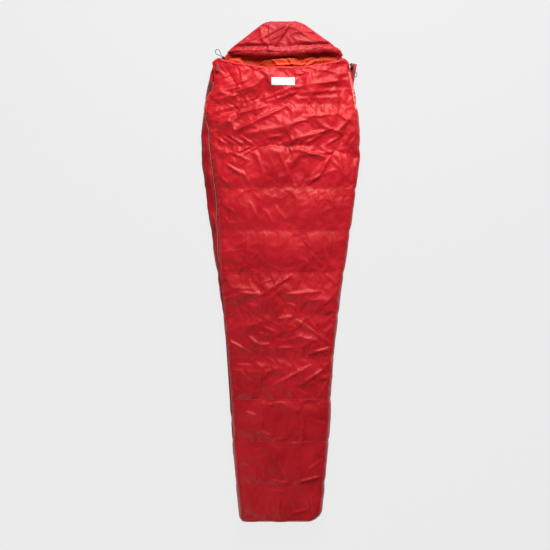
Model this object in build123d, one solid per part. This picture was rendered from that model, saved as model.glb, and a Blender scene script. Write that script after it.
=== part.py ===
"""Mummy sleeping bag lying flat: layered quilts, hood, side zip and two cord locks.

Millimetres, +Z up, +Y towards the hood, origin on the floor under the middle of the bag.
Every quilt is an outer shell, a layer of insulation and a lining, nested with shared faces.
The upper quilt is cut along a diagonal fold, so that its unzipped corner can turn back.
"""
import os
from math import atan2, cos, degrees, hypot, pi, radians, sin, tan

from build123d import *

# ---- Driving dimensions ------------------------------------------------------------------
LENGTH = 2155.0            # hood tip to foot
HEAD_Y = LENGTH / 2
FOOT_Y = -LENGTH / 2
NECK_Y = 900.0             # seam between the bag's back and the hood's back
FABRIC = 1.6               # shell or lining with its seam allowance
BODY_FILL = 13.0           # insulation under and over the sleeper
HOOD_FILL = 12.0           # insulation round the head
MID_Z = 30.0               # where the upper quilt sits on the lower one
TOP_Z = 80.0               # crown of the upper quilt
GAP = 0.4                  # clearance between bodies that move apart

# Half width of the bag at stations along its length, from the shoulders to the calves.
HALF_WIDTHS = (
    (960.0, 284.0),
    (850.0, 303.0),
    (717.0, 328.0),
    (563.0, 344.0),
    (306.0, 319.0),
    (-122.0, 257.0),
    (-400.0, 227.0),
    (-722.0, 209.0),
    (-979.0, 186.0),
)
FOOT_HALF = 176.0
FOOT_CORNER_R = 60.0
FOOT_SEAM_Y = FOOT_Y + 46.0
BASE_EDGE_R = 14.0
TOP_EDGE_R = 17.0
LEAST_R = 4.0              # inner layers with less of a radius than this have sharp edges
CROWN_HALF = 312.0         # the crown has dropped by CROWN_DROP this far from the middle
CROWN_DROP = 26.0

# Neck edge of the upper quilt: a shallow curve between two raised shoulder corners.
NECK_LEFT = (-246.0, 899.0)
NECK_DIP = (5.0, 874.0)
NECK_RIGHT = (264.0, 897.0)
EAR_Y = 914.0
EAR_LEFT = -258.0
EAR_RIGHT = 275.0
BINDING = 3.0
COLLAR_R = 11.0            # padded roll under the neck edge

# Side zip, on a straight line down the left edge. Its own frame has +X towards the flap.
ZIP_TOP = (-298.0, 810.0)
ZIP_END = (-203.0, -600.0)
ZIP_LENGTH = hypot(ZIP_END[0] - ZIP_TOP[0], ZIP_END[1] - ZIP_TOP[1])
ZIP_ANGLE = degrees(atan2(ZIP_END[0] - ZIP_TOP[0], ZIP_TOP[1] - ZIP_END[1]))
CHANNEL = 7.0              # half width of the channel that the chain lies in
PIPING_W = 4.0
PIPING_TOP = MID_Z + 7.0
BAND_EDGE = 12.0           # how far the lower quilt reaches in under the flap
TAPE_Z = MID_Z + 5.0
TAPE_T = 0.8
COIL_IN = 1.5              # each half of the chain starts this far from the middle
COIL_OUT = 4.2
COIL_T = 2.8
CHAIN_Z = TAPE_Z + TAPE_T
TUBE_R = 6.2               # draft tube behind the zip

SLIDER_HALF = 5.8
SLIDER_LENGTH = 22.0
SLIDER_PLATE = 1.6
SLIDER_CLEAR = 0.5
SLIDER_PARK = 2.0          # from the zip's top to the slider's top end
PULL_PIN_R = 0.9
PULL_LENGTH = 30.0
PULL_T = 1.8

# The fold that the unzipped corner turns back along, from near the zip's end to the shoulder.
FOLD_A = (-192.0, -650.0)
FOLD_B = (240.0, 885.0)
FOLD_Z = TOP_Z + 2.0
FOLD_START = 270.0         # the stretch of the fold nearest the zip's end stays closed

# Hood.
HOOD_X = 12.0
HOOD_Z = 74.0
HOOD_CROWN_R = 1100.0
HOOD_TILT = 6.0            # the hood's crown falls towards its tip
HOOD_EDGE_R = 15.0
HOOD_SIDE = ((262.0, 908.0), (234.0, 949.0), (171.0, 1000.0), (107.0, 1051.0))
HOOD_SLANT = 1.35
HOOD_CORNER_R = 22.0
HOOD_TIP_HALF = 73.0
BRIM_R = 16.0
BRIM_SIDE = (236.0, 948.0, 46.2)
BRIM_TOP = (938.0, 56.0)
DRAWCORD_R = 1.25

# Cord locks: a barrel, a sprung button in it, and a looped cord through both.
CORD_D = 2.5
STRAND_GAP = 3.3
LOCK_R = 6.5
LOCK_H = 18.0
LOCK_BORE = 4.7
LOCK_FLOOR = 1.6
BUTTON_R = 4.4
BUTTON_H = 15.3
BUTTON_TRAVEL = 2.5
SPRING_H = 6.0
SPRING_R = 3.2
SPRING_WIRE_R = 0.45
SLOT_W = 6.6
CORD_H = 11.4              # height of the cord's middle over the lock's foot
GUIDE = (8.0, 11.0, 14.0)
HOOD_GUIDE = (-237.0, 907.5)
HOOD_CORD_DIRECTION = 135.0
NECK_GUIDE = (303.0, 889.0)
NECK_CORD_DIRECTION = -70.0

# Looped cord of a lock in the lock's own frame: +X along the cord, away from its guide.
CORD_LOOP = (
    (0.0, 1.65),
    (25.0, 1.65),
    (33.0, 7.0),
    (43.0, 9.5),
    (53.5, 5.0),
    (55.0, -6.0),
    (46.0, -12.0),
    (35.0, -8.5),
    (25.0, -1.65),
    (0.0, -1.65),
)

# Trim.
PATCH_T = 0.8
PATCH_AT = (10.0, 808.0)
PATCH_SIZE = (100.0, 34.0)
STRIP_SPAN = (690.0, 856.0)
STRIP_W = 14.0
TAB_T = 1.6
TAB_LENGTH = 32.0
TAB_WIDTH = 12.0
TAB_AT = (-269.0, 857.0)


# ---- Plan outlines -----------------------------------------------------------------------
def body_plan(inset):
    """The bag's outline in plan, drawn in by inset."""
    right = [(w - inset, y) for y, w in HALF_WIDTHS]
    foot = (FOOT_HALF - inset, FOOT_Y + inset)
    last = right[-1]
    down = (foot[0] - last[0], foot[1] - last[1])
    side = Spline(*right, tangents=((1.0, -5.5), down))
    edges = [side, Line(last, foot)]
    edges += [mirror(e, Plane.YZ) for e in edges]
    edges += [Line(foot, (-foot[0], foot[1])), Line(right[0], (-right[0][0], right[0][1]))]
    face = make_face(edges)
    corners = face.vertices().sort_by(Axis.Y)[:2]
    return fillet(corners, FOOT_CORNER_R - inset)


def hood_plan(inset):
    """The hood's outline in plan, drawn in by inset, and run out past the neck."""
    side = [(x - inset * HOOD_SLANT, y) for x, y in HOOD_SIDE]
    side[0] = (HOOD_SIDE[0][0] - inset, HOOD_SIDE[0][1])
    low = (side[0][0], side[0][1] - 60)
    tip = (HOOD_TIP_HALF - inset, HEAD_Y - inset)
    slant = (tip[0] - side[-1][0], tip[1] - side[-1][1])
    half = [Line(low, side[0]), Spline(*side, tangents=((0, 1), slant)), Line(side[-1], tip)]
    edges = half + [mirror(e, Plane.YZ) for e in half]
    edges += [Line(tip, (-tip[0], tip[1])), Line(low, (-low[0], low[1]))]
    face = make_face(edges)
    corners = face.vertices().sort_by(Axis.Y)[-2:]
    return Pos(HOOD_X, 0) * fillet(corners, HOOD_CORNER_R - inset)


ZIP_LOC = Pos(ZIP_TOP[0], ZIP_TOP[1], 0) * Rot(0, 0, ZIP_ANGLE)


def zip_side(shift):
    """The plan left of the zip, bounded shift to its right, that runs out below its end."""
    outline = Polyline(
        (-500, 400),
        (shift, 400),
        (shift, -ZIP_LENGTH),
        (shift - 40, -ZIP_LENGTH - 190),
        (-500, -ZIP_LENGTH - 190),
        close=True,
    )
    return ZIP_LOC * make_face(outline)


def half_plane(start, direction, reach=3000.0):
    """A large face to the left of a line through start."""
    along = Vector(*direction).normalized()
    across = Vector(-along.Y, along.X)
    p = Vector(*start) - along * reach
    q = Vector(*start) + along * reach
    return make_face(Polyline(p, q, q + across * reach, p + across * reach, close=True))


FOLD_DIR = Vector(FOLD_B[0] - FOLD_A[0], FOLD_B[1] - FOLD_A[1]).normalized()
FOLD_LEFT = Vector(-FOLD_DIR.Y, FOLD_DIR.X)


def flap_region(margin):
    """Where the upper quilt turns back, grown by margin over the fold and its closed end."""
    corner = Vector(*FOLD_A) + FOLD_DIR * (FOLD_START - margin) - FOLD_LEFT * margin
    beside = half_plane(corner, (FOLD_DIR.X, FOLD_DIR.Y))
    above = half_plane(corner, (-FOLD_LEFT.X, -FOLD_LEFT.Y))
    return slab(beside & above, 0, 200)


def neck_region(setback):
    """Everything footwards of the neck edge and its raised corners, set back by setback."""
    left, dip, right = ((x, y - setback) for x, y in (NECK_LEFT, NECK_DIP, NECK_RIGHT))
    ear = EAR_Y - setback
    edge = ThreePointArc(right, dip, left)
    rest = Polyline(
        left, (EAR_LEFT, ear), (-500, ear), (-500, -1300), (500, -1300), (500, ear), (EAR_RIGHT, ear), right
    )
    return slab(make_face([edge, *rest.edges()]), 0, 200)


def slab(face, z0, z1):
    """The face extruded between two heights."""
    return Pos(0, 0, z0) * extrude(face, z1 - z0)


def block(x, y, z):
    """A box between two limits along each axis."""
    size = (x[1] - x[0], y[1] - y[0], z[1] - z[0])
    return Pos(sum(x) / 2, sum(y) / 2, sum(z) / 2) * Box(*size)


# ---- Nested cores, from which the layers are cut -------------------------------------------
def base_core(inset):
    """The lower quilt's solid, drawn in by inset, up to the middle height."""
    body = slab(body_plan(inset), inset, MID_Z)
    if BASE_EDGE_R - inset > LEAST_R:
        edges = body.edges().filter_by(lambda e: e.bounding_box().max.Z < inset + 0.01)
        body = fillet(edges.sort_by(Axis.Y)[:-1], BASE_EDGE_R - inset)
    return body


def crown(inset):
    """A long shallow barrel that gives the upper quilt its crown."""
    radius = CROWN_HALF**2 / (2 * CROWN_DROP)
    return Pos(0, 0, TOP_Z - radius) * Rot(90, 0, 0) * Cylinder(radius - inset, LENGTH + 400)


def top_core(inset):
    """The upper quilt's solid, drawn in by inset, from the middle height to the crown."""
    plan = body_plan(inset) - zip_side(CHANNEL + inset)
    body = slab(plan, MID_Z, TOP_Z + 30) & crown(inset)
    if TOP_EDGE_R - inset > LEAST_R:
        edges = body.edges().filter_by(lambda e: e.bounding_box().min.Z > MID_Z + 5)
        edges = edges.filter_by(lambda e: e.bounding_box().min.Y < 940)
        body = fillet(edges, TOP_EDGE_R - inset)
    return body


def hood_back_core(inset):
    """The hood's solid behind the head, drawn in by inset."""
    body = slab(hood_plan(inset), inset, MID_Z)
    if BASE_EDGE_R - inset > LEAST_R:
        edges = body.edges().filter_by(lambda e: e.bounding_box().max.Z < inset + 0.01)
        body = fillet(edges.sort_by(Axis.Y)[1:], BASE_EDGE_R - inset)
    return body


def hood_front_core(inset):
    """The hood's solid over the forehead, drawn in by inset."""
    barrel = Pos(0, 0, -HOOD_CROWN_R) * Rot(90, 0, 0) * Cylinder(HOOD_CROWN_R - inset, 1200)
    barrel = Pos(HOOD_X, BRIM_TOP[0], HOOD_Z) * Rot(-HOOD_TILT, 0, 0) * barrel
    body = slab(hood_plan(inset), MID_Z, HOOD_Z + 20) & barrel
    if HOOD_EDGE_R - inset > LEAST_R:
        edges = body.edges().filter_by(lambda e: e.bounding_box().min.Z > MID_Z + 3)
        edges = edges.filter_by(lambda e: e.bounding_box().max.Y > 890)
        body = fillet(edges, HOOD_EDGE_R - inset)
    return body


def layers(core, fill):
    """Shell, insulation and lining between a core drawn in by each layer's depth."""
    depths = (0.0, FABRIC, FABRIC + fill, 2 * FABRIC + fill)
    cores = [core(depth) for depth in depths]
    return [outer - inner for outer, inner in zip(cores, cores[1:])]


LAYERS = ("shell", "insulation", "lining")


# ---- Quilts ------------------------------------------------------------------------------
def base_layers():
    """The lower quilt, whose left edge turns in over itself to carry the zip."""
    depths = (0.0, FABRIC, FABRIC + BODY_FILL, 2 * FABRIC + BODY_FILL)
    outer, under_shell, over_lining, cavity = (base_core(depth) for depth in depths)
    reach = BAND_EDGE - FABRIC
    under_shell -= slab(zip_side(reach), MID_Z - FABRIC, MID_Z)
    over_lining -= slab(zip_side(reach), 0, MID_Z)
    cavity -= slab(zip_side(BAND_EDGE), 0, MID_Z)
    return outer - under_shell, under_shell - over_lining, over_lining - cavity


def build_quilts(nodes):
    """Lower quilt, upper quilt in its fixed and turning parts, and the foot box."""
    back = block((-500, 500), (FOOT_SEAM_Y, NECK_Y), (-10, 200))
    foot = block((-500, 500), (-1300, FOOT_SEAM_Y), (-10, 200))
    lifted = block((-500, 500), (-1300, 1300), (MID_Z + GAP, 200))
    lower = base_layers()
    upper = layers(top_core, BODY_FILL)
    neck = neck_region(BINDING)
    for name, low, high in zip(LAYERS, lower, upper):
        nodes[f"base_{name}"] = low & back
        nodes[f"foot_box_{name}"] = (low & foot) + (high & foot)
        body = high & neck
        nodes[f"top_fixed_{name}"] = (body - foot) - flap_region(GAP)
        nodes[f"top_flap_{name}"] = body & flap_region(0) & lifted
    edge = (top_core(0) - top_core(2 * FABRIC + BODY_FILL)) & (neck_region(0) - neck)
    nodes["neck_binding_flap"] = edge & flap_region(0) & lifted
    nodes["neck_binding_fixed"] = edge - flap_region(GAP)


def build_neck_collar(nodes):
    """The padded roll under the neck edge that keeps warm air in."""
    path = ThreePointArc((-226, 872, 43), (0, 850, 57), (226, 872, 43))
    roll = tube(path, COLLAR_R)
    space = top_core(2 * FABRIC + BODY_FILL)
    nodes["neck_collar"] = roll & space & flap_region(0)


def tube(path, radius):
    """A round bar along a path."""
    return sweep(Plane(origin=path @ 0, z_dir=path % 0) * Circle(radius), path=path)


# ---- Side zip ----------------------------------------------------------------------------
def zip_bar(x, y, z):
    """A box in the zip's own frame, with y counted down from the zip's top."""
    return ZIP_LOC * block(x, (-y[1], -y[0]), z)


def build_zip(nodes):
    """Tapes, the two halves of the chain, piping, stops and the draft tube."""
    closed = Vector(*FOLD_A) + FOLD_DIR * FOLD_START
    joined = (ZIP_LOC.inverse() * Pos(closed.X, closed.Y, 0)).position
    slope = tan(atan2(FOLD_DIR.X, FOLD_DIR.Y) + radians(ZIP_ANGLE))
    split = -joined.Y + joined.X * slope
    start = SLIDER_PARK + SLIDER_LENGTH + 2
    tape = (TAPE_Z, CHAIN_Z)
    teeth = (CHAIN_Z, CHAIN_Z + COIL_T)
    ends = ((-CHANNEL, -COIL_IN), (COIL_IN, CHANNEL))
    coils = ((-COIL_OUT, -COIL_IN), (COIL_IN, COIL_OUT))
    lower_end = split + 6
    nodes["zip_tape_lower"] = zip_bar(ends[0], (0, ZIP_LENGTH), tape)
    nodes["zip_tape_upper"] = zip_bar(ends[1], (start, split - 6), tape)
    nodes["zip_tape_joined"] = zip_bar(ends[1], (lower_end, ZIP_LENGTH), tape)
    nodes["zip_coil_lower"] = zip_bar(coils[0], (1, ZIP_LENGTH - 8), teeth)
    nodes["zip_coil_upper"] = zip_bar(coils[1], (start, split - 6), teeth)
    nodes["zip_coil_joined"] = zip_bar(coils[1], (lower_end, ZIP_LENGTH - 8), teeth)
    stop = zip_bar((-COIL_OUT, COIL_OUT), (ZIP_LENGTH - 7, ZIP_LENGTH - 2), (CHAIN_Z, CHAIN_Z + COIL_T + 0.6))
    nodes["zip_bottom_stop"] = stop
    nodes["zip_top_stop"] = zip_bar((-COIL_OUT, -COIL_IN), (-4, 0.8), (TAPE_Z + TAPE_T, CHAIN_Z + COIL_T))
    nodes["zip_piping"] = zip_bar((-CHANNEL - PIPING_W, -CHANNEL), (-6, ZIP_LENGTH), (MID_Z, PIPING_TOP))
    centre = (BAND_EDGE + TUBE_R + 0.2, 2 * FABRIC + BODY_FILL + TUBE_R)
    length = ZIP_LENGTH - 90
    roll = Pos(centre[0], -40 - length / 2, centre[1]) * Rot(90, 0, 0) * Cylinder(TUBE_R, length)
    nodes["zip_draft_tube"] = ZIP_LOC * roll


def build_slider(nodes):
    """The slider's body, which rides on the chain, and its pull."""
    low = TAPE_Z - SLIDER_CLEAR - SLIDER_PLATE
    high = CHAIN_Z + COIL_T + SLIDER_CLEAR
    y = (SLIDER_PARK, SLIDER_PARK + SLIDER_LENGTH)
    width = (-SLIDER_HALF, SLIDER_HALF)
    body = zip_bar(width, y, (low, low + SLIDER_PLATE)) + zip_bar(width, y, (high, high + SLIDER_PLATE))
    body += zip_bar((-0.9, 0.9), (y[0], y[0] + 7), (low, high + SLIDER_PLATE))
    for side in (-1, 1):
        flange = sorted((side * (COIL_OUT + SLIDER_CLEAR), side * SLIDER_HALF))
        body += zip_bar(flange, y, (CHAIN_Z + SLIDER_CLEAR, high + 0.5))
    lug_y = y[0] + 9
    pin_z = high + SLIDER_PLATE + 2.0
    lug = zip_bar((-1.5, 1.5), (lug_y - 3, lug_y + 3), (high + SLIDER_PLATE, pin_z + 2.0))
    lug -= ZIP_LOC * Pos(0, -lug_y, pin_z) * Rot(0, 90, 0) * Cylinder(PULL_PIN_R + 0.3, 8)
    nodes["zip_slider"] = body + lug
    pull = ZIP_LOC * Pos(0, -lug_y, pin_z) * Rot(0, 90, 0) * Cylinder(PULL_PIN_R, 6.4)
    z = (pin_z - PULL_T / 2, pin_z + PULL_T / 2)
    for side in (-1, 1):
        arm = sorted((side * 2.0, side * 3.8))
        pull += zip_bar(arm, (lug_y - 1.6, lug_y + 8), z)
    pull += zip_bar((-3.8, 3.8), (lug_y + 5.4, lug_y + PULL_LENGTH), z)
    nodes["zip_puller"] = pull
    return lug_y, pin_z


# ---- Hood --------------------------------------------------------------------------------
def build_hood(nodes):
    """Back and front quilts of the hood, the padded brim and the drawcord in it."""
    beyond = block((-500, 500), (NECK_Y + GAP, 1300), (-10, 200))
    back = layers(hood_back_core, HOOD_FILL)
    front = layers(hood_front_core, HOOD_FILL)
    side = (BRIM_SIDE[0], BRIM_SIDE[1])
    ends = [(HOOD_X + s * side[0], side[1], BRIM_SIDE[2]) for s in (-1, 1)]
    path = ThreePointArc(ends[0], (HOOD_X, *BRIM_TOP), ends[1])
    roll = tube(path, BRIM_R)
    inner = tube(path, BRIM_R - FABRIC)
    cord = tube(ThreePointArc(path @ 0.03, path @ 0.5, path @ 0.97), DRAWCORD_R)
    arc = ThreePointArc(ends[0][:2], (HOOD_X, BRIM_TOP[0]), ends[1][:2])
    rest = Polyline(ends[0][:2], (-500, side[1]), (-500, 1300), (500, 1300), (500, side[1]), ends[1][:2])
    over = slab(make_face([arc, *rest.edges()]), 0, 200)
    for name, low, high in zip(LAYERS, back, front):
        nodes[f"hood_back_{name}"] = low & beyond
        nodes[f"hood_front_{name}"] = (high & over) - roll
    within = slab(hood_plan(2), MID_Z, 200)
    nodes["hood_brim"] = (roll - inner) & within
    nodes["hood_brim_padding"] = (inner - cord) & within
    nodes["hood_drawcord"] = cord


# ---- Cord locks --------------------------------------------------------------------------
def cord_tube(points, diameter, name):
    """A cord along straight runs with tangent arcs, as open as its runs allow."""
    runs = [hypot(*(q - p for p, q in zip(a, b))) for a, b in zip(points, points[1:])]
    radii = []
    for i, (a, b, c) in enumerate(zip(points, points[1:], points[2:])):
        turn = (Vector(*b) - Vector(*a)).get_angle(Vector(*c) - Vector(*b))
        radii.append(0.45 * min(runs[i], runs[i + 1]) / tan(radians(turn / 2)))
    path = FilletPolyline(*points, radius=radii)
    solid = sweep(Plane(origin=path @ 0, z_dir=path % 0) * Circle(diameter / 2), path=path)
    error = solid.volume / (path.length * pi * diameter**2 / 4) - 1
    print(f"{name}: length {path.length:.1f}, radii {[round(r, 1) for r in radii]}, volume error {error:.4f}")
    return solid


def build_cord_lock(nodes, prefix, guide_at, direction, floor):
    """A guide, a looped cord, and a lock that slides on the cord with its sprung button."""
    frame = Pos(guide_at[0], guide_at[1], floor) * Rot(0, 0, direction)
    height = CORD_H + 0.3
    guide = Pos(0, 0, GUIDE[2] / 2) * Box(*GUIDE)
    guide = fillet(guide.edges().filter_by(Axis.Z), 2.0)
    quilt = top_core(0) & neck_region(0)
    nodes[f"{prefix}_cord_guide"] = (frame * guide) - quilt
    start = GUIDE[0] / 2
    spots = [frame * Pos(start + x, y, height) for x, y in CORD_LOOP]
    points = [tuple(spot.position) for spot in spots]
    nodes[f"{prefix}_cord_loop"] = cord_tube(points, CORD_D, f"{prefix}_cord_loop")
    lock = frame * Pos(start + 1.0 + LOCK_R, 0, 0.3)
    barrel = Pos(0, 0, LOCK_H / 2) * Cylinder(LOCK_R, LOCK_H)
    barrel = fillet(barrel.edges(), 1.0)
    barrel -= Pos(0, 0, LOCK_FLOOR + LOCK_H / 2) * Cylinder(LOCK_BORE, LOCK_H)
    barrel -= Pos(0, 0, CORD_H) * Box(4 * LOCK_R, SLOT_W, CORD_D + 1.2)
    foot = LOCK_FLOOR + SPRING_H + 0.1
    button = Pos(0, 0, foot + BUTTON_H / 2) * Cylinder(BUTTON_R, BUTTON_H)
    button = fillet(button.edges().sort_by(Axis.Z)[-1], 1.2)
    button -= block((-20, 20), (-SLOT_W / 2, SLOT_W / 2), (CORD_H - 1.9, CORD_H + 1.9 + BUTTON_TRAVEL))
    coil = Helix(pitch=SPRING_H / 5, height=SPRING_H - 2 * SPRING_WIRE_R - 0.1, radius=SPRING_R)
    spring = sweep(Plane(origin=coil @ 0, z_dir=coil % 0) * Circle(SPRING_WIRE_R), path=coil, is_frenet=True)
    spring = Pos(0, 0, LOCK_FLOOR + SPRING_WIRE_R + 0.05) * spring
    nodes[f"{prefix}_cord_lock"] = lock * barrel
    nodes[f"{prefix}_cord_lock_button"] = lock * button
    nodes[f"{prefix}_cord_lock_spring"] = lock * spring


# ---- Trim --------------------------------------------------------------------------------
def build_trim(nodes):
    """Blank chest patch, side strip, webbing tab and the closure tab at the zip's top."""
    plain = slab(Pos(*PATCH_AT) * Rectangle(*PATCH_SIZE), MID_Z, 200)
    nodes["chest_patch"] = plain & (crown(-PATCH_T) - crown(0))
    strip = slab(body_plan(-PATCH_T) - body_plan(0), MID_Z + 1, MID_Z + 1 + STRIP_W)
    nodes["side_strip"] = strip & block((0, 500), STRIP_SPAN, (0, 100))
    webbing = Polyline((285, 893), (318, 896), (322, 868), (319, 822), (311, 803), (296, 812), close=True)
    tab = slab(make_face(webbing), MID_Z - 0.8, MID_Z + 0.8)
    nodes["neck_webbing_tab"] = tab - slab(body_plan(0), 0, 200)
    surface = TOP_Z - CROWN_DROP * (TAB_AT[0] / CROWN_HALF) ** 2
    tilt = degrees(atan2(-2 * CROWN_DROP * TAB_AT[0], CROWN_HALF**2))
    place = Pos(TAB_AT[0], TAB_AT[1], surface) * Rot(0, -tilt, 0)
    rest = place * Pos(0, TAB_LENGTH / 2, PATCH_T + GAP + TAB_T / 2)
    nodes["closure_tab"] = rest * Box(TAB_WIDTH, TAB_LENGTH, TAB_T)
    landing = Pos(TAB_AT[0], TAB_AT[1] + TAB_LENGTH / 2) * Rectangle(TAB_WIDTH + 2, TAB_LENGTH)
    nodes["loop_patch"] = slab(landing, MID_Z, 200) & (crown(-PATCH_T) - crown(0))
    print("closure tab hinge", (TAB_AT[0], TAB_AT[1], surface + PATCH_T + GAP + TAB_T / 2))


def build():
    """Every node by name."""
    nodes = {}
    build_quilts(nodes)
    build_neck_collar(nodes)
    build_zip(nodes)
    lug_y, pin_z = build_slider(nodes)
    build_hood(nodes)
    build_cord_lock(nodes, "hood", HOOD_GUIDE, HOOD_CORD_DIRECTION, MID_Z)
    build_cord_lock(nodes, "neck", NECK_GUIDE, NECK_CORD_DIRECTION, MID_Z + 0.8)
    build_trim(nodes)
    pivot = (ZIP_LOC * Pos(0, -lug_y, pin_z)).position
    print("zip direction", cos(radians(ZIP_ANGLE - 90)), sin(radians(ZIP_ANGLE - 90)), "length", ZIP_LENGTH)
    print("puller pivot", tuple(pivot))
    print("fold direction", tuple(FOLD_DIR), "at", FOLD_A, FOLD_Z)
    return nodes


os.makedirs("parts", exist_ok=True)
for node, shape in build().items():
    export_step(shape, f"parts/{node}.step")
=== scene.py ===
"""Looks of the mummy sleeping bag: crumpled red nylon quilts, hood, zip, cords and trim, seen from above."""
import math

import bpy
import numpy as np
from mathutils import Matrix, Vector
from mathutils.bvhtree import BVHTree


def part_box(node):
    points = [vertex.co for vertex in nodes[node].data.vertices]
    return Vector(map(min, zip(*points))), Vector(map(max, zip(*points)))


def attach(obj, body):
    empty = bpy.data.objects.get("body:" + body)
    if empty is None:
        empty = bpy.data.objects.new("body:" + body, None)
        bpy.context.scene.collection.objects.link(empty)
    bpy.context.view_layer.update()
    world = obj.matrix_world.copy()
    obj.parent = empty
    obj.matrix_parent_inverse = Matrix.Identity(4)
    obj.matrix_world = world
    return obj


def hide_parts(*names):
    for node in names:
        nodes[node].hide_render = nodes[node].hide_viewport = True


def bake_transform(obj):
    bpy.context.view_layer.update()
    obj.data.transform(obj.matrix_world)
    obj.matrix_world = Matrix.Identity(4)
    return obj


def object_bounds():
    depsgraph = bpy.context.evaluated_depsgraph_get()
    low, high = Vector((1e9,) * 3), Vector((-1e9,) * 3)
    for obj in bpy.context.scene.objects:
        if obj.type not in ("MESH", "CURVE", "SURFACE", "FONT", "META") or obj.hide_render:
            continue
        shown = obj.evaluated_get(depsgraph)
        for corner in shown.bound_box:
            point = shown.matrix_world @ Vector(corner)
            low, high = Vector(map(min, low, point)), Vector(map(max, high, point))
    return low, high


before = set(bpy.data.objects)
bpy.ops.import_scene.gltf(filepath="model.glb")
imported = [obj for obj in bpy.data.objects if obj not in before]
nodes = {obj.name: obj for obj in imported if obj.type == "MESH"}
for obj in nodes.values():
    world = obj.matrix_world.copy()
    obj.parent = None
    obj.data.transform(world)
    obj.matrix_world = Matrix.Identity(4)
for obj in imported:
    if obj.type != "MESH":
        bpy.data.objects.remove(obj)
cad_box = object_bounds()
scene = bpy.context.scene
rng = np.random.default_rng(7)

# ---- Driving dimensions, metres -------------------------------------------------------------
LOW, HIGH = (Vector(corner) for corner in cad_box)
FOOT_Y = LOW.y
TIP_Y = HIGH.y
SEAM_PITCH = 0.180
FIRST_SEAM_Y = 0.714
SEAMS = [FIRST_SEAM_Y - SEAM_PITCH * i for i in range(10)]
NECK_Y = 0.900
MID_Z = 0.030
CROWN_Z = 0.080
CROWN_SOFT = 0.0115

# Half width of the bag at stations along its length, as in the CAD outline.
HALF_WIDTHS = (
    (-1.0775, 0.176), (-0.979, 0.186), (-0.722, 0.209), (-0.400, 0.227), (-0.122, 0.257), (0.306, 0.319),
    (0.563, 0.344), (0.717, 0.328), (0.850, 0.303), (0.960, 0.284),
)
ZIP_TOP = Vector((-0.298, 0.810))
ZIP_END = Vector((-0.203, -0.600))
CROWN_TOP = 0.0765          # height of the upper quilt's middle, before its relief
CROWN_RADIUS = 1.872        # of its arch across the bag
LAST_ROW_Y = 0.890          # where the upper quilt's rows end, before they follow the neck edge
CORNER = 0.014              # radius of the lower quilt's and the hood's lower edge
LAYERS = ("shell", "insulation", "lining")


def smooth_curve(stations):
    """A function through (place, value) stations, with Catmull-Rom slopes."""
    xs = np.array([s[0] for s in stations])
    ys = np.array([s[1] for s in stations])
    slopes = np.gradient(ys, xs)

    def value(x):
        x = np.clip(x, xs[0], xs[-1])
        i = np.clip(np.searchsorted(xs, x) - 1, 0, len(xs) - 2)
        h = xs[i + 1] - xs[i]
        t = (x - xs[i]) / h
        a = (1 + 2 * t) * (1 - t) ** 2
        b = t * (1 - t) ** 2
        c = t * t * (3 - 2 * t)
        d = t * t * (t - 1)
        return a * ys[i] + b * h * slopes[i] + c * ys[i + 1] + d * h * slopes[i + 1]

    return value


half_width = smooth_curve(HALF_WIDTHS)


def zip_x(y):
    """The zip's middle line."""
    return ZIP_TOP.x + (ZIP_TOP.y - y) * (ZIP_END.x - ZIP_TOP.x) / (ZIP_TOP.y - ZIP_END.y)


def smoothstep(a, b, x):
    t = np.clip((x - a) / (b - a), 0, 1)
    return t * t * (3 - 2 * t)


# ---- Noise and folds --------------------------------------------------------------------------
class Noise:
    """Smooth value noise on the plane, from a seeded table."""

    def __init__(self, seed):
        self.table = np.random.default_rng(seed).random((256, 256)) * 2 - 1

    def __call__(self, x, y):
        xi = np.floor(x).astype(int)
        yi = np.floor(y).astype(int)
        fx = x - xi
        fy = y - yi
        fx = fx * fx * fx * (fx * (fx * 6 - 15) + 10)
        fy = fy * fy * fy * (fy * (fy * 6 - 15) + 10)
        t = self.table
        a = t[xi % 256, yi % 256]
        b = t[(xi + 1) % 256, yi % 256]
        c = t[xi % 256, (yi + 1) % 256]
        d = t[(xi + 1) % 256, (yi + 1) % 256]
        return (a * (1 - fx) + b * fx) * (1 - fy) + (c * (1 - fx) + d * fx) * fy


NOISES = [Noise(seed) for seed in range(11, 19)]


def ridged(x, y, k):
    """Sharp-crested noise, -1 to 1, as in crumpled cloth."""
    return 1 - np.abs(NOISES[k](x, y)) * 2


LEAN = 0.4                  # how much steeper a fold is on its one side


def stroke(x, y, p, q, width, height):
    """One fold from p to q: a crest that is steep on one side and dies away at its ends."""
    p, q = np.array(p, float), np.array(q, float)
    d = q - p
    length = float(np.hypot(*d))
    d /= length
    along = ((x - p[0]) * d[0] + (y - p[1]) * d[1]) / length
    across = -(x - p[0]) * d[1] + (y - p[1]) * d[0]
    ends = smoothstep(-0.12, 0.30, along) * (1 - smoothstep(0.70, 1.12, along))
    u = across / width
    skew = np.where(u > 0, u / (1 - LEAN), u / (1 + LEAN))
    crest = 1 / (1 + (1.7 * skew) ** 2) ** 1.5
    return height * ends * crest


def strokes(x, y, folds):
    """The relief of folds, each (x0, y0, x1, y1, width, height)."""
    total = np.zeros_like(x)
    for x0, y0, x1, y1, width, height in folds:
        total += stroke(x, y, (x0, y0), (x1, y1), width, height)
    return total


def in_metres(folds):
    """A table of folds in millimetres, as metres."""
    return [tuple(size / 1000 for size in fold) for fold in folds]


def seam_gap(y):
    """Distance to the nearest quilting seam."""
    return np.min([np.abs(y - seam) for seam in SEAMS], 0)


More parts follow.
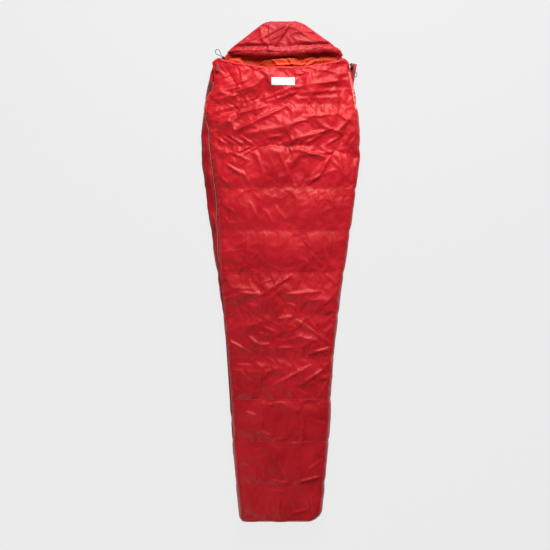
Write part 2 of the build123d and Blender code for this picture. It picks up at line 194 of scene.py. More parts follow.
# ---- Meshes -----------------------------------------------------------------------------------
def new_mesh(name, verts, faces, smooth=True):
    mesh = bpy.data.meshes.new(name)
    mesh.from_pydata([tuple(v) for v in verts], [], [tuple(f) for f in faces])
    mesh.validate()
    mesh.update()
    if smooth:
        mesh.polygons.foreach_set("use_smooth", [True] * len(mesh.polygons))
    obj = bpy.data.objects.new(name, mesh)
    scene.collection.objects.link(obj)
    return obj


def grid_faces(nu, nv, offset=0, flip=False):
    faces = []
    for j in range(nv - 1):
        for i in range(nu - 1):
            a = offset + j * nu + i
            quad = (a, a + 1, a + 1 + nu, a + nu)
            faces.append(quad[::-1] if flip else quad)
    return faces


def points_of(x, y, z):
    """Three grids of coordinates as one list of points."""
    return np.stack([x, y, z], -1).reshape(-1, 3)


def tube_faces(rings, around):
    """Faces of a tube of equal rings, with a cap at each end."""
    faces = []
    for j in range(rings - 1):
        for i in range(around):
            k = (i + 1) % around
            faces.append((j * around + i, (j + 1) * around + i, (j + 1) * around + k, j * around + k))
    faces.append(tuple(range(around)))
    faces.append(tuple(reversed([(rings - 1) * around + i for i in range(around)])))
    return faces


def stand_in(piece, slot, body, *cad_nodes, fill=None):
    """Hide the CAD nodes that a piece replaces and hang it on the body it rides on; slot and fill are not
    used.
    """
    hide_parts(*cad_nodes)
    if body:
        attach(piece, body)
    return piece


def one_material(piece):
    """Give all faces of a closed sheet its first material."""
    for polygon in piece.data.polygons:
        polygon.material_index = 0


def extent(node):
    """The lowest corner, highest corner and middle of a CAD node."""
    low, high = (Vector(corner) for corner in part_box(node))
    return low, high, (low + high) / 2


def drape(points, nu, nv, pins, pressure, shrink, frames):
    """Cloth simulation of a grid of points: the fabric is cut longer than its space and buckles."""
    obj = new_mesh("drape", points, grid_faces(nu, nv))
    group = obj.vertex_groups.new(name="pins")
    for weight in np.unique(pins):
        if weight > 0:
            group.add([int(i) for i in np.nonzero(pins == weight)[0]], float(weight), "REPLACE")
    cloth = obj.modifiers.new("Cloth", "CLOTH")
    settings = cloth.settings
    settings.vertex_group_mass = "pins"
    settings.quality = 6
    settings.mass = 0.08
    settings.air_damping = 2.0
    settings.tension_stiffness = 25
    settings.compression_stiffness = 25
    settings.shear_stiffness = 12
    settings.bending_stiffness = 0.6
    settings.tension_damping = 8
    settings.compression_damping = 8
    settings.shear_damping = 8
    settings.bending_damping = 0.6
    settings.shrink_min = shrink
    settings.use_pressure = True
    settings.uniform_pressure_force = pressure
    settings.pin_stiffness = 4
    settings.effector_weights.gravity = 0
    cloth.collision_settings.use_collision = False
    cloth.point_cache.frame_start = 1
    cloth.point_cache.frame_end = frames
    for number in range(1, frames + 1):
        scene.frame_set(number)
    done = obj.evaluated_get(bpy.context.evaluated_depsgraph_get())
    out = np.empty(len(points) * 3, np.float32)
    done.data.vertices.foreach_get("co", out)
    bpy.data.objects.remove(obj)
    scene.frame_set(1)
    return out.reshape(-1, 3).astype(float)


# ---- Folds of the upper quilt, in millimetres: (x0, y0, x1, y1, width, height) -----------------
CHEST_FOLDS = (
    (50, 784, 288, 823, 12, 4), (60, 759, 293, 779, 10, 4.2), (80, 738, 300, 748, 9, 3.6),
    (-60, 722, 80, 770, 10, 4.5), (-100, 728, 45, 782, 9, 3.5), (-20, 806, 210, 846, 10, 2.8),
    (-268, 823, -190, 858, 12, 5.5), (-230, 792, -140, 822, 13, 6), (-205, 762, -100, 800, 12, 5.5),
    (-270, 772, -185, 742, 12, 6), (-179, 863, -50, 872, 8, 2.8), (120, 868, 260, 850, 9, 3.2),
    (60, 838, 240, 872, 8, 2.6),
)
ARM_FOLDS = (
    (-219, 664, -50, 708, 13, 7), (-200, 600, 0, 690, 15, 9.5), (-165, 586, 62, 628, 16, 8.5),
    (-22, 630, 116, 644, 14, 6), (27, 558, 205, 604, 14, 7.5), (-60, 570, 10, 580, 12, 4.5),
    (-290, 640, -200, 640, 12, 5.5), (220, 690, 300, 640, 10, 4.5), (240, 600, 300, 660, 12, 5),
)
SHOULDER_CREASES = (
    (-300, 681, -169, 712, 8, 4.2), (-294, 649, -180, 681, 8, 4.5), (-296, 618, -200, 639, 8, 4.2),
    (-284, 806, -169, 827, 7, 3.2), (-284, 764, -138, 795, 8, 4), (-294, 733, -148, 764, 8, 4),
    (92, 660, 260, 672, 9, 4), (170, 625, 270, 590, 9, 4.5), (-110, 655, 20, 700, 8, 3.8),
    (-60, 600, 90, 640, 9, 4.5), (134, 409, 217, 493, 10, 6), (92, 493, 238, 514, 9, 4.2),
    (102, 383, 175, 409, 9, 4.5), (-210, 510, -130, 470, 9, 4.2),
)
SEAM_FANS = (
    (-283, 580, -224, 541, 8, 5.2), (-253, 580, -192, 541, 8, 5.5), (-219, 582, -155, 540, 8, 5.5),
    (-172, 580, -112, 540, 8, 5), (-120, 534, -200, 500, 9, 5), (-90, 534, -160, 496, 8, 4.5),
    (37, 543, 76, 584, 8, 4.5), (100, 543, 172, 582, 9, 5), (190, 540, 250, 575, 8, 4.5),
    (60, 520, 215, 482, 11, 6.5), (204, 472, 168, 408, 11, 6.5), (170, 412, 120, 372, 10, 5.5),
    (-101, 512, -64, 390, 10, 5.5), (-12, 520, 62, 362, 12, 6), (-50, 500, -10, 400, 9, 3.5),
    (-243, 466, -150, 408, 12, 6.5), (-280, 440, -225, 375, 11, 5), (-160, 430, -130, 372, 9, 4.5),
    (250, 500, 262, 400, 10, 4.5), (285, 500, 290, 390, 10, 4.5),
)
HIP_FOLDS = (
    (-22, 282, 20, 220, 9, 4), (-130, 300, -90, 215, 10, 3.5), (-60, 260, -30, 200, 9, 3.5),
    (-262, 300, -190, 250, 11, 4), (-240, 240, -210, 190, 10, 3), (155, 345, 170, 222, 10, 4.5),
    (210, 330, 262, 215, 11, 4.5), (158, 162, 210, 26, 10, 4.8), (230, 166, 262, 10, 10, 5),
    (60, 190, 45, 60, 11, 3), (-194, 103, -148, 136, 10, 4.2), (-186, 0, -146, 30, 9, 5),
    (-130, 50, -95, 80, 9, 3.5), (100, 132, 134, 98, 7, 3.8), (128, 82, 178, 22, 11, 4.5),
    (125, 20, 165, 6, 8, 3),
)
THIGH_FOLDS = (
    (-178, -88, -60, -98, 13, 7.5), (-95, -105, 50, -14, 13, 9), (-60, -120, 15, -70, 12, 4.5),
    (-110, -60, -30, -28, 9, 3.5), (30, -96, 168, -84, 14, 8.5), (20, -135, 70, -150, 12, 6),
    (100, -125, 170, -118, 9, 3.5), (184, -140, 226, -98, 10, 4.5), (195, -10, 245, -60, 10, 4.8),
    (-150, -140, -80, -148, 9, 3), (-22, -202, 66, -188, 12, 6.2), (70, -206, 228, -316, 11, 7),
    (118, -200, 160, -255, 9, 4), (-140, -272, -88, -314, 11, 5), (-92, -314, -46, -306, 9, 4.2),
    (-100, -262, -45, -276, 11, 4.2), (70, -276, 158, -294, 10, 5), (60, -340, 120, -300, 11, 4),
    (-160, -230, -100, -226, 9, 2.8), (-232, -304, -196, -352, 7, 5), (-218, -300, -180, -350, 7, 4.5),
    (-246, -312, -214, -356, 7, 4.5), (-226, -290, -116, -352, 10, 6), (110, -352, 238, -318, 12, 8.5),
)
CALF_FOLDS = (
    (-22, -480, 118, -404, 13, 8.5), (86, -480, 194, -408, 13, 5.5), (160, -534, 216, -446, 9, 4.8),
    (-170, -430, -120, -470, 11, 3.5), (-190, -400, -130, -398, 9, 3), (-80, -420, -85, -500, 11, 3),
    (-56, -568, 0, -558, 9, 4), (80, -552, 170, -546, 9, 3.5), (-152, -598, -100, -616, 12, 6.5),
    (-98, -676, -34, -702, 11, 6.2), (-34, -714, 20, -712, 8, 3.5), (95, -660, 88, -740, 10, 2.8),
    (4, -738, 130, -728, 9, 3.2), (-8, -800, 22, -856, 9, 4.2), (-46, -890, 44, -902, 12, 6.8),
    (60, -900, 196, -868, 13, 8), (110, -850, 180, -800, 12, 3.5), (-172, -976, -80, -1040, 12, 6),
    (40, -1030, 120, -1012, 12, 4.5), (130, -940, 142, -1000, 8, 3.5), (-60, -930, 20, -940, 11, 2.5),
)
LONG_STREAKS = (
    (133, 320, 141, 178, 10, 3.4), (183, 342, 176, 220, 10, 3), (-66, 342, -95, 249, 10, 3.4),
    (-2, 349, 9, 263, 9, 3), (69, 342, 72, 235, 10, 3.4), (-138, 163, -145, 6, 11, 3.4),
    (-66, 163, -56, 49, 10, 3), (-2, 171, -7, 21, 11, 3.4), (76, 171, 69, 35, 10, 3.2),
    (119, 178, 129, 21, 10, 3.4), (219, 163, 198, -1, 10, 3.6), (-202, 320, -216, 192, 10, 3.4),
    (41, -436, 45, -522, 10, 3), (-74, -550, -79, -679, 11, 2.8), (98, -608, 101, -722, 11, 2.8),
    (-109, -822, -102, -893, 10, 2.8), (-2, -964, -5, -1045, 10, 3), (112, -950, 126, -1040, 10, 3),
)
TOP_FOLDS = in_metres(
    CHEST_FOLDS + ARM_FOLDS + SHOULDER_CREASES + SEAM_FANS
    + HIP_FOLDS + THIGH_FOLDS + CALF_FOLDS + LONG_STREAKS
)


def pucker_folds():
    """Short gathers on both sides of each quilting seam, uneven in size and lean."""
    folds = []
    for k, seam in enumerate(SEAMS):
        wide = float(half_width(seam)) - 0.03
        x = -wide
        while x < wide:
            x += rng.uniform(0.014, 0.040)
            side = 1 if rng.random() < 0.5 else -1
            reach = rng.uniform(0.018, 0.055)
            lean = rng.uniform(-0.7, 0.7)
            height = rng.uniform(0.0008, 0.0030) * (1.15 if k < 4 else 0.75)
            width = rng.uniform(0.0045, 0.008)
            folds.append((x, seam + side * 0.003, x + lean * reach, seam + side * reach, width, height))
    return folds


def crumple(x, y, strength):
    """Fine crushed texture of thin nylon over loose fill."""
    wx = x + 0.05 * NOISES[0](x * 5, y * 5) + 0.015 * NOISES[1](x * 17, y * 17)
    wy = y + 0.05 * NOISES[2](x * 5, y * 5) + 0.015 * NOISES[3](x * 17, y * 17)
    big = ridged(wx * 7 + wy * 2.2, wy * 10 - wx * 3, 4)
    mid = ridged(wx * 17, wy * 13 + wx * 5, 5)
    fine = ridged(wx * 34 + wy * 9, wy * 30, 6)
    amount = 0.0030 * big * np.abs(big) + 0.0022 * mid * np.abs(mid) + 0.0010 * fine
    patch = 0.55 + 0.45 * NOISES[7](x * 3.1, y * 3.1)
    return strength * amount * patch


def channel_puff(y, depth):
    """Loft between the quilting seams: fullest half way, pinched at each seam."""
    phase = np.abs(((y - FIRST_SEAM_Y) / SEAM_PITCH + 0.5) % 1 - 0.5) * 2
    return depth * (1 - (1 - phase) ** 3)


# ---- Upper quilt --------------------------------------------------------------------------------
TOP_NU = 96
TOP_NV = 300
EDGE_SHARE = 0.07
TOP_WALL = 0.024


def neck_edge(x):
    """The neck edge of the upper quilt, a shallow curve up to two shoulder corners."""
    off = np.abs(x - 0.008)
    curve = 0.871 + 0.017 * smoothstep(0.075, 0.190, off) + 0.012 * smoothstep(0.180, 0.245, off)
    return curve + 0.012 * smoothstep(0.245, 0.262, off)


# Where the upper quilt's left edge lies: over the zip, and out to the outline at shoulder and hip.
LEFT_LINE = (
    (-1.0775, -0.173), (-0.800, -0.201), (-0.600, -0.211), (-0.300, -0.233), (-0.120, -0.250),
    (0.000, -0.261), (0.174, -0.268), (0.340, -0.276), (0.445, -0.291), (0.540, -0.302), (0.617, -0.307),
    (0.668, -0.321), (0.725, -0.320), (0.762, -0.303), (0.785, -0.289), (0.830, -0.2865),
    (0.862, -0.289), (0.890, -0.294),
)
left_edge = smooth_curve(LEFT_LINE)


def top_surface():
    """Grid of points over the upper quilt, from its left wall over the crown to its right wall."""
    u = np.linspace(-1, 1, TOP_NU)
    v = np.linspace(0, 1, TOP_NV)
    uu, vv = np.meshgrid(u, v)
    y = FOOT_Y + 0.002 + vv * (LAST_ROW_Y - FOOT_Y)
    left = left_edge(y)
    right = half_width(y) - 0.0005 - seam_pinch(y)
    middle = (left + right) / 2
    half = (right - left) / 2
    flat = 1 - EDGE_SHARE
    inner = np.clip(np.abs(uu) / flat, 0, 1)
    turn = np.clip((np.abs(uu) - flat) / EDGE_SHARE, 0, 1) * math.pi / 2
    reach = (half - TOP_WALL * 0.9) * inner + TOP_WALL * 0.9 * np.sin(turn)
    x = middle + np.sign(uu) * reach
    stretch = smoothstep(0.62, LAST_ROW_Y, y)
    y = y + stretch * (neck_edge(x) - LAST_ROW_Y)
    edge = np.where(uu > 0, right, left)
    drop = CROWN_TOP - edge**2 / (2 * CROWN_RADIUS) - 0.0290
    z = CROWN_TOP - x * x / (2 * CROWN_RADIUS) - drop * (1 - np.cos(turn))
    over_zip = 0.0475 * smoothstep(-0.66, -0.60, y) * (x < 0)
    z = np.maximum(z, over_zip - 0.003 * (1 - np.cos(turn)))
    foot_turn = 1 - smoothstep(0.0, 0.018, y - FOOT_Y)
    z = np.maximum(z - 0.046 * foot_turn**2, 0.029)
    y = y - 0.017 * smoothstep(0.88, 1.0, np.abs(uu)) * stretch
    inside = (1 - smoothstep(0.80, 0.97, np.abs(uu))) * smoothstep(0.0, 0.06, y - FOOT_Y)
    fade = inside * (1 - 0.6 * smoothstep(0.84, 0.89, y))
    return x, y, z, uu, fade


def seam_pinch(y):
    """How far each quilting seam draws the outline in."""
    return 0.0032 * np.exp(-((seam_gap(y) / 0.014) ** 2)) + 0.0012 * NOISES[1](y * 13, 3.3)


def corner_round(x, y):
    """Draw the foot's corners in to their radius."""
    for side, radius in ((-1, 0.025), (1, 0.060)):
        cx = side * (0.176 - radius)
        cy = FOOT_Y + radius
        dx = (x - cx) * side
        dy = cy - y
        where = (dx > 0) & (dy > 0)
        far = np.hypot(dx, dy)
        square = np.maximum(np.maximum(dx, dy), 1e-6)
        scale = np.where(where, square / np.maximum(far, 1e-6), 1)
        x = np.where(where, cx + side * dx * scale, x)
        y = np.where(where, cy - dy * scale, y)
    return x, y


def inner_of(outer, plain, uu, thickness):
    """The lining under a quilt's draped surface, meeting it all round the edge."""
    x, y, z = (outer[:, k].reshape(uu.shape) for k in range(3))
    near = smoothstep(0.70, 0.97, np.abs(uu))
    level = np.minimum(plain, z)
    relief = crumple(x * 1.1 + 4, y * 1.1, 1.2) + channel_puff(y, 0.0050)
    level = level - (1 - near) * np.maximum(relief + 0.001, 0)
    depth = 0.0014 + thickness * (1 - near)
    wall = smoothstep(0.90, 0.97, np.abs(uu))
    return points_of(x - 0.0014 * np.sign(uu) * wall, y, level - depth)


def closed_sheet(name, outer, inner, nu, nv):
    """A closed quilt from its outer and inner grids. Its inner faces take the second material."""
    count = nu * nv
    faces = grid_faces(nu, nv) + grid_faces(nu, nv, count, flip=True)
    rim = list(range(nu))
    rim += [j * nu + nu - 1 for j in range(1, nv)]
    rim += [(nv - 1) * nu + i for i in range(nu - 2, -1, -1)]
    rim += [j * nu for j in range(nv - 2, 0, -1)]
    for a, b in zip(rim, rim[1:] + rim[:1]):
        faces.append((a, a + count, b + count, b))
    obj = new_mesh(name, np.concatenate([outer, inner]), faces)
    inside = (nu - 1) * (nv - 1)
    for index in range(inside, 2 * inside):
        obj.data.polygons[index].material_index = 1
    return obj


# How lively the wrinkles are along the bag: smooth at the feet and hips, crushed at knees and chest.
LOFT = smooth_curve((
    (-1.05, 0.22), (-0.80, 0.28), (-0.63, 0.38), (-0.45, 0.75), (-0.27, 0.75), (-0.09, 0.95),
    (0.09, 0.42), (0.27, 0.42), (0.45, 1.05), (0.63, 1.50), (0.76, 1.50), (0.88, 1.20),
))


def build_top():
    """The upper quilt: red shell over orange lining."""
    x, y, z, uu, fade = top_surface()
    plain = z.copy()
    loft = LOFT(y)
    z = z + fade * (channel_puff(y, 0.0022) - 0.001)
    z = z + fade * strokes(x, y, TOP_FOLDS) * (0.95 + 0.50 * smoothstep(0.1, 0.6, y))
    z = z + (0.3 + 0.7 * fade) * strokes(x, y, pucker_folds()) * loft
    z = z + (0.35 + 0.65 * fade) * crumple(x, y, 0.9) * loft * smoothstep(0.0, 0.03, y - FOOT_Y)
    x, y = corner_round(x, y)
    points = points_of(x, y, z)
    y = y + 0.0025 * NOISES[3](x * 16 + 5, y * 0) * (1 - smoothstep(0.0, 0.05, y - FOOT_Y))
    points[:, 1] = y.reshape(-1)
    pins = np.where((seam_gap(y) < 0.0035) & (np.abs(uu) < 0.93), 1.0, 0.0)
    pins = np.where(np.abs(uu) > 0.985, 1.0, pins)
    pins[0:3] = 1
    pins[-2:] = 1
    draped = drape(points, TOP_NU, TOP_NV, pins.reshape(-1), 0.2, -0.034, 14)
    outer = points + (draped - points) * np.clip(0.15 + 0.85 * loft.reshape(-1, 1), 0.3, 1.2)
    over = np.maximum(outer[:, 2] - CROWN_Z, 0)
    outer[:, 2] -= over - CROWN_SOFT * np.tanh(over / CROWN_SOFT)
    edge = smoothstep(0.0, 0.03, y - FOOT_Y) * (1 - smoothstep(0.87, 0.90, y))
    inner = inner_of(outer, plain, uu, 0.014 * edge)
    top = closed_sheet("top_quilt", outer, inner, TOP_NU, TOP_NV)
    quilts = ("top_flap", "top_fixed", "foot_box")
    stand_in(top, "red_shell", None, *[f"{quilt}_{layer}" for quilt in quilts for layer in LAYERS])
    return top


def across_fold(piece):
    """Bake a piece's transform into its mesh."""
    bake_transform(piece)


# ---- Lower quilt --------------------------------------------------------------------------------
BASE_NV = 240


def lower_corner(w, lift, steps):
    """The right lower corner of a section, from its side round to underneath."""
    turns = [step / steps * math.pi / 2 for step in range(1, steps + 1)]
    return [(w - CORNER * (1 - math.cos(a)), CORNER * (1 - math.sin(a)) + lift * math.sin(a)) for a in turns]


def base_ring(y):
    """One section of the lower quilt, as a closed ring of points from the right rim round underneath."""
    w = float(half_width(y)) - 0.001
    end = float(smoothstep(0.0, 0.022, y - FOOT_Y))
    lift = 0.012 * (1 - end)
    zx = float(zip_x(y)) - 0.0115
    ring = [(w - 0.016, MID_Z)]
    ring += [(w - 0.008, MID_Z + 0.0005), (w - 0.001, MID_Z - 0.001)]
    ring += [(w, z) for z in (0.026, 0.022, 0.018, 0.014)]
    ring += lower_corner(w, lift, 6)
    inner_w = w - CORNER
    for step in range(1, 60):
        ring.append((inner_w - 2 * inner_w * step / 60, lift))
    for step in range(0, 7):
        a = step / 6 * math.pi / 2
        ring.append((-w + CORNER * (1 - math.sin(a)), CORNER * (1 - math.cos(a)) + lift * math.cos(a)))
    left = max(zx, -w + 0.010)
    for step in range(1, 15):
        t = (step / 14) ** 1.4
        ring.append((-w + (left + w) * t, 0.0145 + 0.0265 * (1 - (1 - t) ** 3) * (1 - 0.40 * t**4)))
    edge = max(float(zip_x(y)) + 0.012, left + 0.006)
    ring += [(left + (edge - left) * t, MID_Z - 0.0005) for t in (0.35, 0.7, 1.0)]
    floor = 0.0145 + 0.014 * (1 - float(smoothstep(0.010, 0.030, y - FOOT_Y)))
    ring += [(edge + 0.002, (MID_Z + floor) / 2), (edge + 0.003, floor)]
    span = (w - 0.019) - (edge + 0.003)
    ring += [(edge + 0.003 + span * t / 20, floor) for t in range(1, 21)]
    ring += [(w - 0.0165, (MID_Z + floor) / 2)]
    return ring


def build_base():
    """The lower quilt: a shallow tray, whose left margin shows beside the zip."""
    ys = np.concatenate([FOOT_Y + np.linspace(0.001, 0.03, 8), np.linspace(FOOT_Y + 0.04, NECK_Y, BASE_NV)])
    rings = [base_ring(float(y)) for y in ys]
    count = len(rings[0])
    points = np.array([[(px, y, pz) for px, pz in ring] for ring, y in zip(rings, ys)])
    x, y, z = points[..., 0], points[..., 1], points[..., 2]
    outside = (np.arange(count) < 95)[None, :] * np.ones_like(x)
    lifted = smoothstep(0.004, 0.016, z)
    bulge = crumple(x + z * 1.7, y, 1.1) + 0.0014 * NOISES[1](x * 30 + z * 60, y * 22)
    bulge = np.minimum(bulge, 0.002)
    pinch = seam_pinch(y) + 0.012 * smoothstep(0.85, 0.90, y)
    side = np.sign(x) * smoothstep(0.75, 0.95, np.abs(x) / half_width(y))
    x = x + outside * side * (bulge * lifted - pinch * lifted)
    margin = 0.0042 * ridged(x * 26 + y * 9, y * 19, 5) - 0.002 + 0.0035 * NOISES[6](x * 40, y * 34)
    clear = 1 - smoothstep(-0.030, -0.015, x - zip_x(y)) * smoothstep(-0.64, -0.62, y)
    z = z + outside * np.where((z > 0.020) & (x < 0), margin, 0) * lifted * clear
    z = np.where((np.abs(x - zip_x(y)) < 0.014) & (y > -0.63), np.minimum(z, 0.0310), z)
    under = outside * (z < 0.004)
    creases = 0.0030 * np.maximum(ridged(x * 9 + y * 4, y * 13, 5), 0) ** 1.3
    creases = creases + 0.0012 * np.maximum(ridged(x * 23 + y * 9, y * 27, 6), 0)
    relief = creases + 0.0010 * (1 + NOISES[2](x * 25, y * 25))
    relief = relief + 0.0030 * np.exp(-((seam_gap(y) / 0.008) ** 2))
    z = np.where(under > 0, z + relief, z)
    x, y = corner_round(x, y)
    base = new_mesh("base_quilt", points_of(x, y, z), tube_faces(len(ys), count))
    for cap in (-2, -1):
        base.data.polygons[cap].use_smooth = False
    return stand_in(base, "red_shell", "base", "base_shell", "base_insulation", fill=0.35)


# ---- Hood ---------------------------------------------------------------------------------------
HOOD_X = 0.012
HOOD_HALF = ((0.880, 0.262), (0.908, 0.262), (0.949, 0.234), (1.000, 0.171), (1.051, 0.107), (1.0775, 0.072))
hood_side = smooth_curve(HOOD_HALF)


def hood_half(y):
    """Half width of the hood, with its two upper corners rounded."""
    return hood_side(y) - 0.016 * smoothstep(TIP_Y - 0.022, TIP_Y, y) ** 2


HOOD_FOLDS = in_metres((
    (-91, 986, 42, 1056, 10, 6.5), (-75, 972, 30, 1020, 10, 4.5), (37, 1046, -20, 962, 10, 6.5),
    (-150, 976, -70, 1018, 11, 4), (-40, 1000, 45, 1040, 8, 3.5), (30, 1000, 50, 968, 9, 4),
    (70, 985, 160, 972, 10, 3.5), (-60, 958, 60, 962, 8, 3.5), (60, 1040, 110, 1000, 10, 3),
    (-60, 1050, -20, 1030, 10, 2.5),
))
BRIM_LINE = (
    (-0.214, 0.941, 0.036), (-0.150, 0.943, 0.047), (-0.086, 0.941, 0.053), (-0.005, 0.937, 0.056),
    (0.077, 0.943, 0.055), (0.158, 0.951, 0.050), (0.205, 0.954, 0.045), (0.243, 0.946, 0.039),
    (0.264, 0.925, 0.032),
)


def brim_y(x):
    """Where the brim's middle line lies."""
    xs = [p[0] for p in BRIM_LINE]
    return np.interp(x, xs, [p[1] for p in BRIM_LINE])


def build_hood_crown():
    """The hood over the forehead, from the brim to the tip."""
    nu, nv = 110, 56
    uu, vv = np.meshgrid(np.linspace(-1, 1, nu), np.linspace(0, 1, nv))
    reach = 1 - (1 - vv) ** 1.15
    low = 0.938
    y = low + (TIP_Y - 0.003 - low) * reach
    half = hood_half(y)
    edge = 0.05
    inner = np.clip(np.abs(uu) / (1 - edge), 0, 1)
    turn = np.clip((np.abs(uu) - (1 - edge)) / edge, 0, 1) * math.pi / 2
    wall = 0.020
    across = (half - wall * 0.9) * inner + wall * 0.9 * np.sin(turn)
    x = HOOD_X + np.sign(uu) * across
    y = y + (1 - vv) ** 2 * (brim_y(x) - low)
    z = 0.0725 - (y - 0.938) * 0.105 - (x - HOOD_X) ** 2 / 2.2 - wall * (1 - np.cos(turn))
    tip_turn = smoothstep(TIP_Y - 0.030, TIP_Y - 0.002, y)
    z = z - 0.020 * tip_turn**2
    fade = (1 - smoothstep(0.84, 0.98, np.abs(uu))) * (1 - smoothstep(TIP_Y - 0.030, TIP_Y - 0.006, y))
    plain = z.copy()
    dip = np.exp(-(((y - brim_y(x) - 0.019) / 0.0075) ** 2))
    z = z - 0.012 * dip * (1 - smoothstep(0.86, 1.0, np.abs(uu)))
    z = z + fade * strokes(x, y, HOOD_FOLDS) + (0.3 + 0.7 * fade) * crumple(x + 0.7, y, 0.8)
    outer = points_of(x, y, z)
    pins = (np.abs(uu) > 0.97) | (vv < 0.02) | (vv > 0.985)
    outer = drape(outer, nu, nv, pins.astype(float).reshape(-1), 0.6, -0.03, 12)
    thick = 0.010 * (1 - smoothstep(TIP_Y - 0.02, TIP_Y - 0.004, y))
    inner = inner_of(outer, plain - 0.006, uu, thick)
    crown = closed_sheet("hood_crown", outer, inner, nu, nv)
    return stand_in(crown, "red_shell", None, *[f"hood_front_{layer}" for layer in LAYERS])


def build_hood_back():
    """The hood behind the head: a shallow tray that meets the lower quilt at the neck."""
    nv, under_count = 64, 80
    ys = np.linspace(NECK_Y - 0.004, TIP_Y - 0.002, nv)
    rings = []
    for y in ys:
        w = float(hood_half(y))
        end = float(1 - smoothstep(TIP_Y - 0.020, TIP_Y, y))
        lift = 0.010 * (1 - end)
        ring = [(w - 0.015, MID_Z + 0.004), (w - 0.006, MID_Z + 0.006), (w - 0.001, MID_Z + 0.002)]
        ring += [(w, z) for z in (0.026, 0.020, 0.014)]
        ring += lower_corner(w, lift, 5)
        bottom = [((w - CORNER) * (1 - 2 * t / under_count), lift + 0.0008) for t in range(1, under_count)]
        mirrored = [(-px, pz) for px, pz in reversed(ring)]
        floor = 0.0145 + 0.012 * (1 - float(1 - smoothstep(TIP_Y - 0.035, TIP_Y - 0.012, y)))
        inside = [((w - 0.018) * (2 * t / 24 - 1), floor) for t in range(0, 25)]
        rings.append(ring + bottom + mirrored + inside)
    count = len(rings[0])
    points = np.array([[(HOOD_X + px, y, pz) for px, pz in ring] for ring, y in zip(rings, ys)])
    x, y, z = points[..., 0], points[..., 1], points[..., 2]
    side = np.sign(x - HOOD_X) * smoothstep(0.8, 1.0, np.abs(x - HOOD_X) / hood_half(y))
    x = x + side * (0.0022 * NOISES[3](y * 30, z * 60) - 0.001)
    z = np.where(z > 0.024, z + 0.002 * NOISES[4](x * 30, y * 30), z)
    button_low, _, button = extent("hood_cord_lock_button")
    beside_button = (np.abs(x - button.x) < 0.022) & (np.abs(y - button.y) < 0.022)
    z = np.where(beside_button, np.minimum(z, button_low.z - 0.0035), z)
    creases = 0.0038 * np.maximum(ridged(x * 11 + y * 5, y * 17, 5), 0) ** 1.3
    creases = creases + 0.0016 * np.maximum(ridged(x * 27 + y * 12, y * 31, 6), 0)
    seam = 0.0035 * np.exp(-(((y - 0.984) / 0.005) ** 2))
    z = np.maximum(z, 0.0010 * (1 + NOISES[2](x * 26, y * 26)) + creases + seam)
    back = new_mesh("hood_back", points_of(x, y, z), tube_faces(nv, count))
    stand_in(back, "red_shell", None, "hood_back_shell", "hood_back_insulation", fill=0.35)
    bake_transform(back)
    return back


# ---- Gathered rolls: the brim, the collar and the neck's hem --------------------------------------
def spline_points(points, count):
    """Points evenly spread along a Catmull-Rom curve."""
    p = np.array(points, float)
    chord = np.concatenate([[0], np.cumsum(np.linalg.norm(np.diff(p, axis=0), axis=1))])
    at = np.linspace(0, chord[-1], count)
    return np.stack([smooth_curve(list(zip(chord, p[:, k])))(at) for k in range(3)], -1)


def build_roll(name, line, radius, gather, seed, taper=0.35, rows=220, around=28, flat=1.0):
    """A soft padded tube with gathers along it, closed at both ends."""
    path = spline_points(line, rows)
    tangent = np.gradient(path, axis=0)
    tangent /= np.linalg.norm(tangent, axis=1)[:, None]
    t = np.linspace(0, 1, rows)
    length = float(np.sum(np.linalg.norm(np.diff(path, axis=0), axis=1)))
    size = radius * (taper + (1 - taper) * np.clip(np.sin(math.pi * t), 0, 1) ** 0.4)
    verts = []
    for j in range(rows):
        out = np.array([-tangent[j, 1], tangent[j, 0], 0.0])
        out /= np.linalg.norm(out)
        up = np.cross(tangent[j], out)
        for i in range(around):
            a = 2 * math.pi * i / around
            s = t[j] * length
            wave = NOISES[seed](np.array(s * 55), np.array(a * 0.9 + 3 * math.sin(s * 9)))
            wave = wave + 0.5 * NOISES[seed](np.array(s * 120 + 40), np.array(a * 1.4))
            r = size[j] * (1 + gather * float(wave))
            rise = flat * math.sin(a) * abs(up[2])
            verts.append(path[j] + r * (math.cos(a) * out + rise * np.array([0, 0, 1.0])))
    return new_mesh(name, verts, tube_faces(rows, around))


def build_rolls():
    """The hood's brim, the collar behind the neck edge, and the neck edge's hem."""
    brim = build_roll("hood_brim_roll", BRIM_LINE, 0.0175, 0.17, 5, taper=0.30, rows=300, flat=0.78)
    stand_in(brim, "red_shell", "hood", "hood_brim", "hood_brim_padding", "hood_drawcord", fill=0.6)
    xs = np.linspace(-0.228, 0.222, 9)
    line = [(x, 0.850 + 0.022 * (x / 0.226) ** 2, 0.050 - 0.012 * (x / 0.226) ** 2) for x in xs]
    collar = build_roll("collar_roll", line, 0.010, 0.14, 6, taper=0.5)
    stand_in(collar, "orange_lining", "flap", "neck_collar", fill=0.7)
    xs = np.linspace(-0.290, 0.291, 25)
    line = []
    for x in xs:
        turn = float(smoothstep(0.262, 0.296, abs(x)))
        drop = turn * (0.006 if x < 0 else 0.020)
        y = float(neck_edge(np.array(x))) - 0.0035 - 0.015 * turn
        line.append((x, y, 0.0722 - x * x / (2 * CROWN_RADIUS) - drop))
    hem = build_roll("neck_hem", line, 0.0072, 0.22, 7, taper=0.60, rows=420, around=20, flat=0.9)
    stand_in(hem, "red_binding", None, "neck_binding_flap", "neck_binding_fixed")
    across_fold(hem)
    return brim, collar, hem


